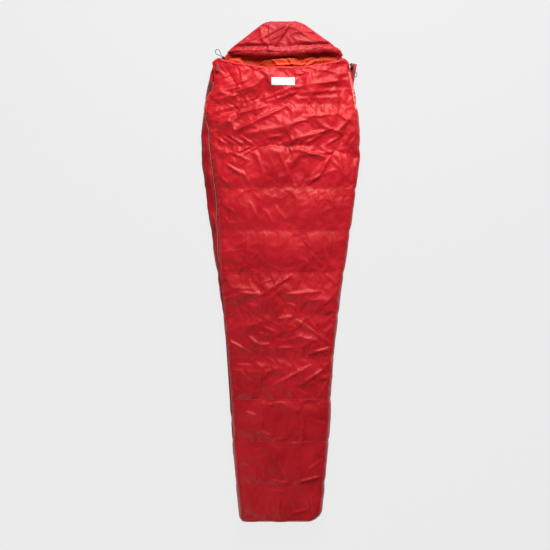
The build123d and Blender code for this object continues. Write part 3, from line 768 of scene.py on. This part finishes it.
# ---- Lining -------------------------------------------------------------------------------------
LINING_FOLDS = in_metres((
    (-70, 905, 80, 915, 16, 10), (-175, 878, -150, 920, 9, 10), (-115, 876, -60, 912, 10, 11),
    (-40, 915, 0, 878, 9, 10), (55, 878, 30, 918, 9, 11), (85, 876, 120, 915, 8, 10),
    (105, 878, 165, 918, 8, 10), (195, 882, 185, 922, 9, 9), (-160, 900, -80, 915, 13, 10),
    (80, 900, 150, 925, 12, 12), (150, 905, 230, 915, 12, 10), (-230, 920, -160, 900, 12, 10),
    (-40, 885, 120, 890, 12, 12), (40, 930, 140, 935, 12, 10), (-120, 935, 0, 930, 12, 10),
))


# How far the lining stands up in the face opening, across the bag: a hollow left of the middle.
LINING_RISE = smooth_curve((
    (-0.250, 0.012), (-0.195, 0.012), (-0.172, 0.009), (-0.158, -0.012), (-0.110, -0.012),
    (-0.080, 0.002), (-0.030, 0.016), (0.060, 0.018), (0.092, 0.004), (0.125, 0.011), (0.200, 0.009),
    (0.250, 0.008),
))


def build_lining():
    """The lining of the lower quilt and the hood, which shows in the face opening."""
    body_rows = np.linspace(FOOT_Y + 0.022, 0.850, 190, endpoint=False)
    face_rows = np.linspace(0.850, 1.050, 80)
    nu, nv = 130, len(body_rows) + len(face_rows)
    uu, y = np.meshgrid(np.linspace(-1, 1, nu), np.concatenate([body_rows, face_rows]))
    blend = smoothstep(0.86, 0.93, y)
    right = (half_width(y) - 0.018) * (1 - blend) + (HOOD_X + hood_half(y) - 0.017) * blend
    edge = np.maximum(zip_x(y) + 0.0155, -half_width(y) + 0.018)
    left = edge * (1 - blend) + (HOOD_X - hood_half(y) + 0.017) * blend
    x = (left + right) / 2 + uu * (right - left) / 2
    rise = 0.0125 * smoothstep(0.93, 1.0, np.abs(uu))
    z = 0.0165 + rise + 0.008 * smoothstep(1.02, 1.05, y)
    inside = 1 - smoothstep(0.80, 0.97, np.abs(uu))
    z = z + LINING_RISE(x) * inside * np.exp(-(((y - 0.899) / 0.026) ** 2))
    z = z + inside * (1.05 * strokes(x, y, LINING_FOLDS) + 1.7 * crumple(x, y + 3, 1.0))
    z = z + inside * channel_puff(y, 0.0045) * (1 - smoothstep(0.84, 0.88, y))
    z = np.maximum(z, 0.0155)
    top = points_of(x, y, z)
    low = top - np.array([0, 0, 0.0008])
    lining = closed_sheet("inner_lining", top, low, nu, nv)
    one_material(lining)
    stand_in(lining, "orange_lining", None, "base_lining", "hood_back_lining")
    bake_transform(lining)
    return lining


# ---- Zip ----------------------------------------------------------------------------------------
ZIP_DOWN = (ZIP_END - ZIP_TOP).normalized()
ZIP_SIDE = Vector((-ZIP_DOWN.y, ZIP_DOWN.x))
TAPE_Z = 0.0349
TAPE_THICK = 0.0008
TAPE_LEFT = -0.0115         # across the zip, from its middle line
TAPE_RIGHT = 0.0150
COIL_GAP = 0.0012           # the joined tape's bands keep this far from the middle line
COIL_MIDDLE = 0.00285
COIL_Z = 0.0372
COIL_PITCH = 0.0026


def beside_zip(along, across, z):
    """A point by the zip: metres below its top, and metres to the right of its middle line."""
    p = ZIP_TOP + ZIP_DOWN * along + ZIP_SIDE * across
    return Vector((p.x, p.y, z))


def build_strip(name, at, length, bands, z, thick, step=0.006):
    """A thin woven tape beside the zip line, as one closed strip for each (from, to) band across it."""
    rows = max(int(length / step), 8)
    verts, faces = [], []
    for lo, hi in bands:
        first = len(verts)
        for j in range(rows + 1):
            s = at + length * j / rows
            for level in (0, thick):
                for k in range(4):
                    verts.append(beside_zip(s, lo + (hi - lo) * k / 3, z + level))
        for j in range(rows):
            a, b = first + j * 8, first + (j + 1) * 8
            for k in range(3):
                faces.append((a + k, a + k + 1, b + k + 1, b + k))
                faces.append((a + 4 + k, b + 4 + k, b + 5 + k, a + 5 + k))
            faces.append((a, b, b + 4, a + 4))
            faces.append((a + 3, a + 7, b + 7, b + 3))
        for a, turn in ((first, 1), (first + rows * 8, -1)):
            for k in range(3):
                faces.append((a + k, a + 4 + k, a + 5 + k, a + k + 1)[::turn])
    return new_mesh(name, verts, faces, smooth=False)


def build_coil(name, at, length, across):
    """One half of the zip's coil: a row of rounded teeth."""
    verts, faces = [], []
    for n in range(int(length / COIL_PITCH)):
        s = at + (n + 0.5) * COIL_PITCH
        ring = []
        for t in range(8):
            a = t / 8 * 2 * math.pi
            ring.append((0.0007 * math.cos(a), 0.0010 * math.sin(a)))
        base = len(verts)
        for end in (-1, -0.6, 0.6, 1):
            slim = 0.55 if abs(end) == 1 else 1
            mid = across + end * 0.0013
            for ds, dz in ring:
                verts.append(beside_zip(s + ds * slim, mid, COIL_Z + dz * slim))
        for k in range(3):
            for t in range(8):
                u = (t + 1) % 8
                a = base + k * 8
                faces.append((a + t, a + 8 + t, a + 8 + u, a + u))
        faces.append(tuple(base + t for t in range(8)))
        faces.append(tuple(base + 24 + t for t in reversed(range(8))))
    return new_mesh(name, verts, faces)


def node_span(node):
    """Metres below the zip's top at which a node starts, and its length along the zip."""
    low, high, _ = extent(node)
    start = (ZIP_TOP.y - high.y) / abs(ZIP_DOWN.y)
    return start, (high.y - low.y) / abs(ZIP_DOWN.y)


def build_zip_part(half, body, bands, inset, coil_across):
    """One stretch of tape and its coil, such as the lower half above the slider."""
    at, length = node_span("zip_tape_" + half)
    tape = build_strip("tape_" + half, at + inset[0], length - inset[1], bands, TAPE_Z, TAPE_THICK)
    stand_in(tape, "dark_tape", body, "zip_tape_" + half)
    at, length = node_span("zip_coil_" + half)
    coil = build_coil("coil_" + half, at, length, coil_across)
    stand_in(coil, "dark_nylon_coil", body, "zip_coil_" + half)
    return [tape, coil]


def build_edging():
    """The tan edging along the upper quilt's free edge."""
    line = []
    at, length = node_span("zip_piping")
    for n in range(60):
        s = at + 0.002 + (length - 0.004) * n / 59
        p = beside_zip(s, -0.0100, 0.0352)
        free = float(smoothstep(-0.05, 0.08, p.y))
        beside = max(float(left_edge(p.y)) - 0.0035, -float(half_width(p.y)) + 0.0040)
        line.append((p.x + free * (beside - p.x), p.y, p.z + 0.003 * free))
    piping = build_roll("tan_edging", line, 0.0019, 0.10, 4, taper=0.8, rows=420, around=12)
    return stand_in(piping, "tan_piping", "base", "zip_piping")


def build_draft_tube():
    """The padded tube behind the zip."""
    at, length = node_span("zip_draft_tube")
    line = [tuple(beside_zip(at + 0.004 + (length - 0.008) * n / 59, 0.0184, 0.0405)) for n in range(60)]
    tube = build_roll("draft_tube", line, 0.0060, 0.10, 2, taper=0.6, rows=460, around=20)
    return stand_in(tube, "orange_lining", "base", "zip_draft_tube", fill=0.7)


def build_zip():
    """Both halves of the open zip, the joined stretch, the edging and the draft tube."""
    whole = ((TAPE_LEFT, -COIL_GAP), (COIL_GAP, TAPE_RIGHT))
    made = build_zip_part("lower", "base", ((TAPE_LEFT, COIL_GAP),), (0.001, 0.002), COIL_MIDDLE - 0.0010)
    made += build_zip_part("upper", "flap", ((0.0048, TAPE_RIGHT),), (0.001, 0.002), COIL_MIDDLE + 0.0010)
    made += build_zip_part("joined", "base", whole, (0.003, 0.003), COIL_MIDDLE)
    return made + [build_edging(), build_draft_tube()]


# ---- Trim ---------------------------------------------------------------------------------------
PATCH_X, PATCH_Y = 0.0107, 0.8086
PATCH_LENGTH = 0.034        # along the bag
PATCH_WIDTH = 0.100
STRIP_ROWS = 40


def ribbon(name, centre, direction, length, width, thick, surface, nu=10, nv=24):
    """A flat woven piece lying on a surface given by a height function."""
    d = Vector(direction).normalized()
    side = Vector((-d.y, d.x))
    outer = []
    for j in range(nv):
        for i in range(nu):
            s = (j / (nv - 1) - 0.5) * length
            t = (i / (nu - 1) - 0.5) * width
            px = centre[0] + d.x * s + side.x * t
            py = centre[1] + d.y * s + side.y * t
            outer.append((px, py, surface(px, py) + thick))
    outer = np.array(outer)
    return closed_sheet(name, outer, outer - np.array([0, 0, thick]), nu, nv)


def surface_of(obj, upward=False):
    """A function giving the height of a piece's upper side at a place, or of its lower side."""
    tree = BVHTree.FromObject(obj, bpy.context.evaluated_depsgraph_get())
    origin_z, way = (-0.5, 1) if upward else (0.5, -1)

    def height(x, y):
        hit = tree.ray_cast(Vector((x, y, origin_z)), Vector((0, 0, way)))
        return hit[0].z if hit[0] else MID_Z

    return height


def build_stitches(name, rows, lift=0.0003, pitch=0.0042, length=0.0030, width=0.0006):
    """Lines of thread stitches. Each row is a list of points that lie on the cloth."""
    verts, faces = [], []
    for row in rows:
        p = np.array(row, float)
        chord = np.concatenate([[0], np.cumsum(np.linalg.norm(np.diff(p, axis=0), axis=1))])
        count = int(chord[-1] / pitch)
        for n in range(count):
            s = (n + 0.5) * pitch
            ends = []
            for off in (-length / 2, -length / 4, length / 4, length / 2):
                ends.append(Vector([np.interp(s + off, chord, p[:, k]) for k in range(3)]))
            along = (ends[-1] - ends[0]).normalized()
            side = Vector((-along.y, along.x, 0)).normalized() * width
            up = Vector((0, 0, width))
            base = len(verts)
            for k, e in enumerate(ends):
                slim = 0.35 if k in (0, 3) else 1.0
                rise = lift * (0.2 if k in (0, 3) else 1.0)
                for a, b in ((1, 0), (0, 1), (-1, 0), (0, -1)):
                    verts.append(e + side * (a * slim) + up * (b * slim + rise / width))
            for k in range(3):
                for t in range(4):
                    u = (t + 1) % 4
                    a = base + 4 * k
                    faces.append((a + t, a + u, a + 4 + u, a + 4 + t))
            faces.append((base + 3, base + 2, base + 1, base))
            faces.append((base + 12, base + 13, base + 14, base + 15))
    obj = new_mesh(name, verts, faces)
    return obj


def seam_rows(surface, clear_side, edge_of, clear_edge, count, rise):
    """A line of points along each quilting seam, on a surface, clear of its two ends."""
    rows = []
    for seam in SEAMS:
        wide = float(half_width(seam)) - clear_side
        start = max(-wide, float(edge_of(np.array(seam))) + clear_edge)
        rows.append([(x, seam, surface(x, seam) + rise) for x in np.linspace(start, wide, count)])
    return rows


def build_seams(top, lining, height):
    """Stitches along the quilting seams, outside and on both linings."""
    rows = seam_rows(height, 0.016, left_edge, 0.014, 180, 0.0001)
    outside = build_stitches("quilt_stitches", rows)
    across_fold(outside)
    soffit, floor_of = surface_of(top, upward=True), surface_of(lining)
    rows = seam_rows(soffit, 0.045, left_edge, 0.040, 150, -0.0001)
    above = build_stitches("lining_stitches_top", rows, lift=-0.0003)
    across_fold(above)
    rows = seam_rows(floor_of, 0.045, zip_x, 0.034, 150, 0.0001)
    below = build_stitches("lining_stitches_base", rows)
    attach(below, "base")
    return outside, above, below


def build_patch_thread(height):
    """Stitches down the chest patch's two short sides."""
    rows = []
    for side in (-1, 1):
        x = PATCH_X + side * (PATCH_WIDTH / 2 - 0.003)
        ys = [PATCH_Y + t for t in np.linspace(-0.0155, 0.0155, 12)]
        rows.append([(x, y, height(x, y) + 0.0012) for y in ys])
    thread = build_stitches("patch_stitches", rows, pitch=0.0030, length=0.0020, width=0.0003)
    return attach(thread, "flap")


def build_side_strip(height):
    """The light strip along the right edge."""
    low, high, _ = extent("side_strip")
    verts = []
    for j in range(STRIP_ROWS):
        y = low.y + 0.001 + (high.y - low.y - 0.002) * j / (STRIP_ROWS - 1)
        w = float(half_width(y))
        for k in range(6):
            x = w - 0.0025 - 0.0095 * k / 5
            verts.append((x, y, height(x, y) + 0.0010))
    outer = np.array(verts)
    strip = closed_sheet("side_label_strip", outer, outer - np.array([0.0004, 0, 0.0009]), 6, STRIP_ROWS)
    one_material(strip)
    return stand_in(strip, "orange_strip", "base", "side_strip")


def build_dashes(height):
    """Four plain marks on the side strip."""
    marks = []
    y = 0.700
    for size in (0.020, 0.012, 0.012, 0.020):
        x = float(half_width(y)) - 0.0075
        marks.append([(x, y + t * size, height(x, y + t * size) + 0.0018) for t in np.linspace(0, 1, 5)])
        y += size + 0.008
    dashes = build_stitches("strip_dashes", marks, pitch=0.010, length=0.0085, width=0.0016)
    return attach(dashes, "base")


def ribbon_on(name, node, smaller, thick, surface):
    """A ribbon as large as a CAD node, less a little each way."""
    low, high, centre = extent(node)
    return ribbon(name, centre, (0, 1), high.y - low.y - smaller, high.x - low.x - smaller, thick, surface)


def build_tabs(height):
    """The shoulder's webbing tab, the closure tab and the patch that it lands on."""
    low, high, centre = extent("neck_webbing_tab")
    long, wide = (high.y - low.y) * 0.97, min(high.x - low.x, 0.026)
    ripple = lambda x, y: 0.0288 + 0.0004 * math.sin(y * 90)
    tab = ribbon("shoulder_webbing", centre, (0.17, 1), long, wide, 0.0012, ripple)
    one_material(tab)
    stand_in(tab, "red_webbing", "base", "neck_webbing_tab")
    lowest = extent("closure_tab")[0].z
    over = lambda x, y: max(height(x, y) + 0.0004, lowest)
    cover = ribbon_on("closure_tab_cover", "closure_tab", 0.001, 0.0014, over)
    stand_in(cover, "black_webbing", "closure_tab", "closure_tab")
    sunk = lambda x, y: height(x, y) - 0.0002
    under = ribbon_on("loop_patch_weave", "loop_patch", 0.002, 0.0006, sunk)
    stand_in(under, "black_webbing", "flap", "loop_patch")
    return tab, cover, under


def build_trim(top, lining):
    """Stitches, patch, strip and tabs, each with the name of its material."""
    height = surface_of(top)
    centre = (PATCH_X, PATCH_Y)
    patch = ribbon("blank_patch", centre, (0, 1), PATCH_LENGTH, PATCH_WIDTH, 0.0018, height, nu=40, nv=16)
    stand_in(patch, "white_patch", "flap", "chest_patch")
    outside, above, below = build_seams(top, lining, height)
    patch_thread = build_patch_thread(height)
    strip = build_side_strip(height)
    dashes = build_dashes(height)
    tab, cover, under = build_tabs(height)
    return (
        (patch, "white_patch"), (outside, "thread"), (above, "thread"), (below, "thread"),
        (patch_thread, "white_patch"), (strip, "orange_strip"), (dashes, "white_patch"),
        (tab, "red_webbing"), (cover, "brown_tab"), (under, "black_webbing"),
    )


# ---- Drawcord loops -----------------------------------------------------------------------------
CORD_DIAMETER = 0.0025
HOOD_CORD_AT = (-0.237, 0.9075)
HOOD_CORD_TURN = 135
HOOD_CORD_Z = 0.0417
NECK_CORD_AT = (0.303, 0.889)
NECK_CORD_TURN = -70
NECK_CORD_Z = 0.0425
CORD_ROUTE = (
    (0.0040, 0.00165), (0.0290, 0.00165), (0.0370, 0.00700), (0.0470, 0.00950), (0.0575, 0.00500),
    (0.0590, -0.00600), (0.0500, -0.01200), (0.0390, -0.00850), (0.0290, -0.00165), (0.0040, -0.00165),
)


def build_cord(name, node, origin, degrees, z, body):
    """A drawcord's free loop, out of its guide, through its lock and back."""
    turn = math.radians(degrees)
    curve = bpy.data.curves.new(name, "CURVE")
    curve.dimensions = "3D"
    curve.resolution_u = 16
    spline = curve.splines.new("NURBS")
    spline.points.add(len(CORD_ROUTE) - 1)
    for point, (a, b) in zip(spline.points, CORD_ROUTE):
        px = origin[0] + a * math.cos(turn) - b * math.sin(turn)
        py = origin[1] + a * math.sin(turn) + b * math.cos(turn)
        point.co = (px, py, z, 1)
    spline.order_u = 3
    spline.use_endpoint_u = True
    line = bpy.data.objects.new(name + "_line", curve)
    scene.collection.objects.link(line)
    bpy.context.view_layer.update()
    path = [tuple(v.co) for v in bpy.data.meshes.new_from_object(line).vertices]
    curve.bevel_depth = CORD_DIAMETER / 2
    curve.bevel_resolution = 4
    curve.use_fill_caps = True
    bpy.context.view_layer.update()
    obj = bpy.data.objects.new(name, bpy.data.meshes.new_from_object(line))
    scene.collection.objects.link(obj)
    bpy.data.objects.remove(line)
    stand_in(obj, "elastic_cord", body, node)
    return obj


# ---- Materials ----------------------------------------------------------------------------------
def links_of(material):
    tree = material.node_tree
    return tree.nodes, tree.links


def principled(name, rough, sheen=0.0, metallic=0.0, specular=0.5, tint=(1, 1, 1)):
    material = bpy.data.materials.new(name)
    material.use_nodes = True
    shader = material.node_tree.nodes["Principled BSDF"]
    shader.inputs["Roughness"].default_value = rough
    shader.inputs["Metallic"].default_value = metallic
    shader.inputs["Sheen Weight"].default_value = sheen
    shader.inputs["Sheen Roughness"].default_value = 0.45
    shader.inputs["Sheen Tint"].default_value = (*tint, 1)
    shader.inputs["Specular IOR Level"].default_value = specular
    return material, shader


def add(nodes_, kind, **values):
    """A new shader node with its properties and inputs set."""
    node = nodes_.new(kind)
    for key, value in values.items():
        if hasattr(node, key):
            setattr(node, key, value)
        else:
            node.inputs[key.replace("_", " ").title()].default_value = value
    return node


def mottled(material, shader, dark, light, scale, detail=6.0):
    """Base colour between two tones by soft noise."""
    n, l = links_of(material)
    place = n.new("ShaderNodeTexCoord")
    noise = add(n, "ShaderNodeTexNoise", scale=scale, detail=detail)
    ramp = n.new("ShaderNodeValToRGB")
    ramp.color_ramp.elements[0].position = 0.32
    ramp.color_ramp.elements[1].position = 0.68
    ramp.color_ramp.elements[0].color = (*dark, 1)
    ramp.color_ramp.elements[1].color = (*light, 1)
    l.new(place.outputs["Object"], noise.inputs["Vector"])
    l.new(noise.outputs["Fac"], ramp.inputs["Fac"])
    l.new(ramp.outputs["Color"], shader.inputs["Base Color"])
    return place


def bump(material, shader, height_socket, strength, distance, before=None):
    """Relief from a height, over what an earlier bump gives."""
    n, l = links_of(material)
    node = add(n, "ShaderNodeBump", strength=strength, distance=distance)
    l.new(height_socket, node.inputs["Height"])
    if before:
        l.new(before.outputs["Normal"], node.inputs["Normal"])
    l.new(node.outputs["Normal"], shader.inputs["Normal"])
    return node


def woven(material, shader, place, count, strength, before=None):
    """A plain weave: crossing threads at so many a metre."""
    n, l = links_of(material)
    total = None
    for direction in ("X", "Y"):
        wave = add(n, "ShaderNodeTexWave", scale=count / (2 * math.pi) * 0.314)
        wave.bands_direction = direction
        wave.inputs["Distortion"].default_value = 0.6
        wave.inputs["Detail Scale"].default_value = 2.0
        l.new(place.outputs["Object"], wave.inputs["Vector"])
        if total is None:
            total = wave.outputs["Fac"]
        else:
            join = n.new("ShaderNodeMath")
            join.operation = "MAXIMUM"
            l.new(total, join.inputs[0])
            l.new(wave.outputs["Fac"], join.inputs[1])
            total = join.outputs[0]
    return bump(material, shader, total, strength, 0.0002, before)


def nylon(name, dark, light, rough, sheen, crinkle=0.45, specular=0.5, tint=(1, 1, 1)):
    """Thin calendered nylon: mottled colour, crushed creases and a fine ripstop weave."""
    material, shader = principled(name, rough, sheen, specular=specular, tint=tint)
    shader.inputs["Specular Tint"].default_value = (*tint, 1)
    place = mottled(material, shader, dark, light, 7.0, 5.0)
    n, l = links_of(material)
    creases = add(n, "ShaderNodeTexNoise", scale=38.0, detail=5.0, roughness=0.55)
    creases.noise_type = "RIDGED_MULTIFRACTAL"
    l.new(place.outputs["Object"], creases.inputs["Vector"])
    first = bump(material, shader, creases.outputs["Fac"], crinkle, 0.0016)
    woven(material, shader, place, 260, 0.18, first)
    gloss = add(n, "ShaderNodeTexNoise", scale=14.0, detail=3.0)
    spread = n.new("ShaderNodeMapRange")
    spread.inputs["To Min"].default_value = rough - 0.06
    spread.inputs["To Max"].default_value = rough + 0.10
    l.new(place.outputs["Object"], gloss.inputs["Vector"])
    l.new(gloss.outputs["Fac"], spread.inputs["Value"])
    l.new(spread.outputs["Result"], shader.inputs["Roughness"])
    return material


def webbing(name, dark, light, rough, count, strength=0.6, sheen=0.15):
    """A coarse weave of so many threads a metre."""
    material, shader = principled(name, rough, sheen)
    place = mottled(material, shader, dark, light, 60.0, 3.0)
    woven(material, shader, place, count, strength)
    return material


def hard(name, colour, rough, metallic=0.0, specular=0.5):
    """Plastic or metal with a fine grain."""
    material, shader = principled(name, rough, 0.0, metallic, specular)
    place = mottled(material, shader, [c * 0.8 for c in colour], colour, 120.0, 3.0)
    n, l = links_of(material)
    noise = add(n, "ShaderNodeTexNoise", scale=900.0, detail=2.0)
    l.new(place.outputs["Object"], noise.inputs["Vector"])
    bump(material, shader, noise.outputs["Fac"], 0.12, 0.0001)
    return material


# Name: darker and lighter tone, roughness, sheen, crinkle, specular level, tint of both.
NYLONS = {
    "red_shell": ((0.37, 0.003, 0.009), (0.5, 0.008, 0.017), 0.44, 0.15, 0.42, 0.43, (1.0, 0.5, 0.43)),
    # The hood's nylon is the red shell painted darker: painted shade over the hood and its brim.
    "red_hood": ((0.28, 0.004, 0.01), (0.385, 0.009, 0.017), 0.47, 0.13, 0.45, 0.38, (1.0, 0.52, 0.45)),
    # The lower quilt's nylon is the red shell painted darker: painted shade on its walls and the side band
    # by the zip.
    "red_margin": ((0.27, 0.003, 0.008), (0.38, 0.006, 0.014), 0.48, 0.08, 0.45, 0.32, (1.0, 0.45, 0.4)),
    "orange_lining": ((0.54, 0.038, 0.013), (0.74, 0.072, 0.022), 0.5, 0.08, 0.5, 0.4, (1.0, 0.6, 0.5)),
}
# Name: darker and lighter tone, roughness, threads a metre, relief and sheen where not the usual.
WEBBINGS = {
    "dark_tape": ((0.045, 0.006, 0.008), (0.075, 0.01, 0.013), 0.75, 1600),
    "tan_piping": ((0.3, 0.075, 0.05), (0.43, 0.12, 0.08), 0.7, 1400),
    "orange_strip": ((0.55, 0.08, 0.058), (0.68, 0.115, 0.08), 0.7, 1200),
    "red_webbing": ((0.28, 0.008, 0.014), (0.38, 0.014, 0.02), 0.75, 1100, 0.9, 0.0),
    "white_patch": ((0.56, 0.56, 0.55), (0.66, 0.66, 0.65), 0.7, 1500, 0.8, 0.05),
    "brown_tab": ((0.22, 0.007, 0.011), (0.32, 0.012, 0.018), 0.75, 1000, 0.9, 0.0),
    "thread": ((0.46, 0.02, 0.026), (0.58, 0.04, 0.046), 0.6, 2600),
    "black_webbing": ((0.018, 0.016, 0.017), (0.045, 0.035, 0.036), 0.8, 1000, 0.9),
    "elastic_cord": ((0.012, 0.003, 0.004), (0.04, 0.006, 0.008), 0.8, 2200, 0.8, 0.0),
}
# Name: colour, roughness, metallic, specular level.
HARD_LOOKS = {
    "dark_nylon_coil": ((0.06, 0.012, 0.014), 0.4),
    "black_metal": ((0.02, 0.02, 0.022), 0.35, 1.0),
    "painted_metal": ((0.16, 0.006, 0.01), 0.4, 0.0, 0.35),
    "spring_steel": ((0.55, 0.55, 0.56), 0.28, 1.0),
    "black_plastic": ((0.012, 0.012, 0.013), 0.5, 0.0, 0.3),
}


def make_materials():
    made = {}
    for build, looks in ((nylon, NYLONS), (webbing, WEBBINGS), (hard, HARD_LOOKS)):
        for name, facts in looks.items():
            made[name] = build(name, *facts)
    return made


def dress(obj, *materials):
    """Give a piece its materials, and keep which face takes which."""
    places = [polygon.material_index for polygon in obj.data.polygons]
    obj.data.materials.clear()
    for material in materials:
        obj.data.materials.append(material)
    if len(materials) > 1:
        obj.data.polygons.foreach_set("material_index", places)


# ---- Camera, floor and light --------------------------------------------------------------------
CAMERA_AT = (-0.0236, -0.015, 5.0)
VIEW_DEPTH = 4.95           # from the camera down to the bag
VIEW_WIDTH = 2.3557         # what the picture takes in at that depth
FLOOR_HALF = 9


def build_stage():
    """Camera, pale floor, soft world light, a key light beyond the hood and a weak fill."""
    camera = bpy.data.cameras.new("camera")
    camera.lens_unit = "FOV"
    camera.angle = 2 * math.atan(VIEW_WIDTH / 2 / VIEW_DEPTH)
    eye = bpy.data.objects.new("camera", camera)
    scene.collection.objects.link(eye)
    eye.location = CAMERA_AT
    scene.camera = eye
    corners = [(x * FLOOR_HALF, y * FLOOR_HALF, 0) for x, y in ((-1, -1), (1, -1), (1, 1), (-1, 1))]
    floor = new_mesh("floor", corners, [(0, 1, 2, 3)], smooth=False)
    material, shader = principled("pale_floor", 0.9, specular=0.1)
    shader.inputs["Base Color"].default_value = (0.035, 0.035, 0.035, 1)
    shader.inputs["Emission Color"].default_value = (1, 1, 1, 1)
    shader.inputs["Emission Strength"].default_value = 0.800
    dress(floor, material)
    world = bpy.data.worlds.new("studio")
    scene.world = world
    world.use_nodes = True
    world.node_tree.nodes["Background"].inputs["Color"].default_value = (1, 1, 1, 1)
    world.node_tree.nodes["Background"].inputs["Strength"].default_value = 0.10
    for name, size, energy, place, aim in (
        ("key", 1.5, 153, (0.35, 2.55, 1.85), (0, 0.3, 0)),
        ("fill", 1.6, 29, (-1.2, -2.6, 2.2), (0, 0, 0)),
    ):
        light = bpy.data.lights.new(name, "AREA")
        light.size = size
        light.energy = energy
        light.specular_factor = 1.0 if name == "key" else 0.15
        lamp = bpy.data.objects.new(name, light)
        scene.collection.objects.link(lamp)
        lamp.location = place
        lamp.rotation_euler = (Vector(aim) - lamp.location).to_track_quat("-Z", "Y").to_euler()
    scene.view_settings.view_transform = "Standard"


def subdivide(obj):
    modifier = obj.modifiers.new("smooth", "SUBSURF")
    modifier.levels = modifier.render_levels = 1


ZIP_LOOKS = {"tape": "dark_tape", "coil": "dark_nylon_coil", "tan": "tan_piping", "draft": "orange_lining"}


def look_of(node):
    """The material of a CAD node that shows as it is."""
    if "spring" in node:
        return "spring_steel"
    if node in ("zip_slider", "zip_puller"):
        return "painted_metal"
    if node.startswith("zip_") and "stop" in node:
        return "black_metal"
    return "black_webbing" if "guide" in node else "black_plastic"


def main():
    build_stage()
    m = make_materials()
    hood_cord = build_cord(
        "hood_cord", "hood_cord_loop", HOOD_CORD_AT, HOOD_CORD_TURN, HOOD_CORD_Z, "hood"
    )
    neck_cord = build_cord(
        "neck_cord", "neck_cord_loop", NECK_CORD_AT, NECK_CORD_TURN, NECK_CORD_Z, "base"
    )
    dress(hood_cord, m["elastic_cord"])
    dress(neck_cord, m["elastic_cord"])
    top = build_top()
    base = build_base()
    crown = build_hood_crown()
    back = build_hood_back()
    brim, collar, hem = build_rolls()
    lining = build_lining()
    zip_pieces = build_zip()
    subdivide(top)
    subdivide(crown)
    trim = build_trim(top, lining)
    across_fold(top)
    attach(crown, "hood")
    red, orange = m["red_shell"], m["orange_lining"]
    dress(top, red, orange)
    # The hood and its brim take the red shell painted darker: painted shade.
    dress(crown, m["red_hood"], orange)
    # The lower quilt takes the red shell painted darker: painted shade.
    dress(base, m["red_margin"], orange)
    dress(back, red, orange)
    dress(brim, m["red_hood"])
    dress(collar, orange)
    dress(hem, red)
    dress(lining, orange)
    for piece in zip_pieces:
        dress(piece, m[ZIP_LOOKS[piece.name.split("_")[0]]])
    for piece, look in trim:
        dress(piece, m[look], m[look])
    for name, obj in nodes.items():
        dress(obj, m[look_of(name)])


main()
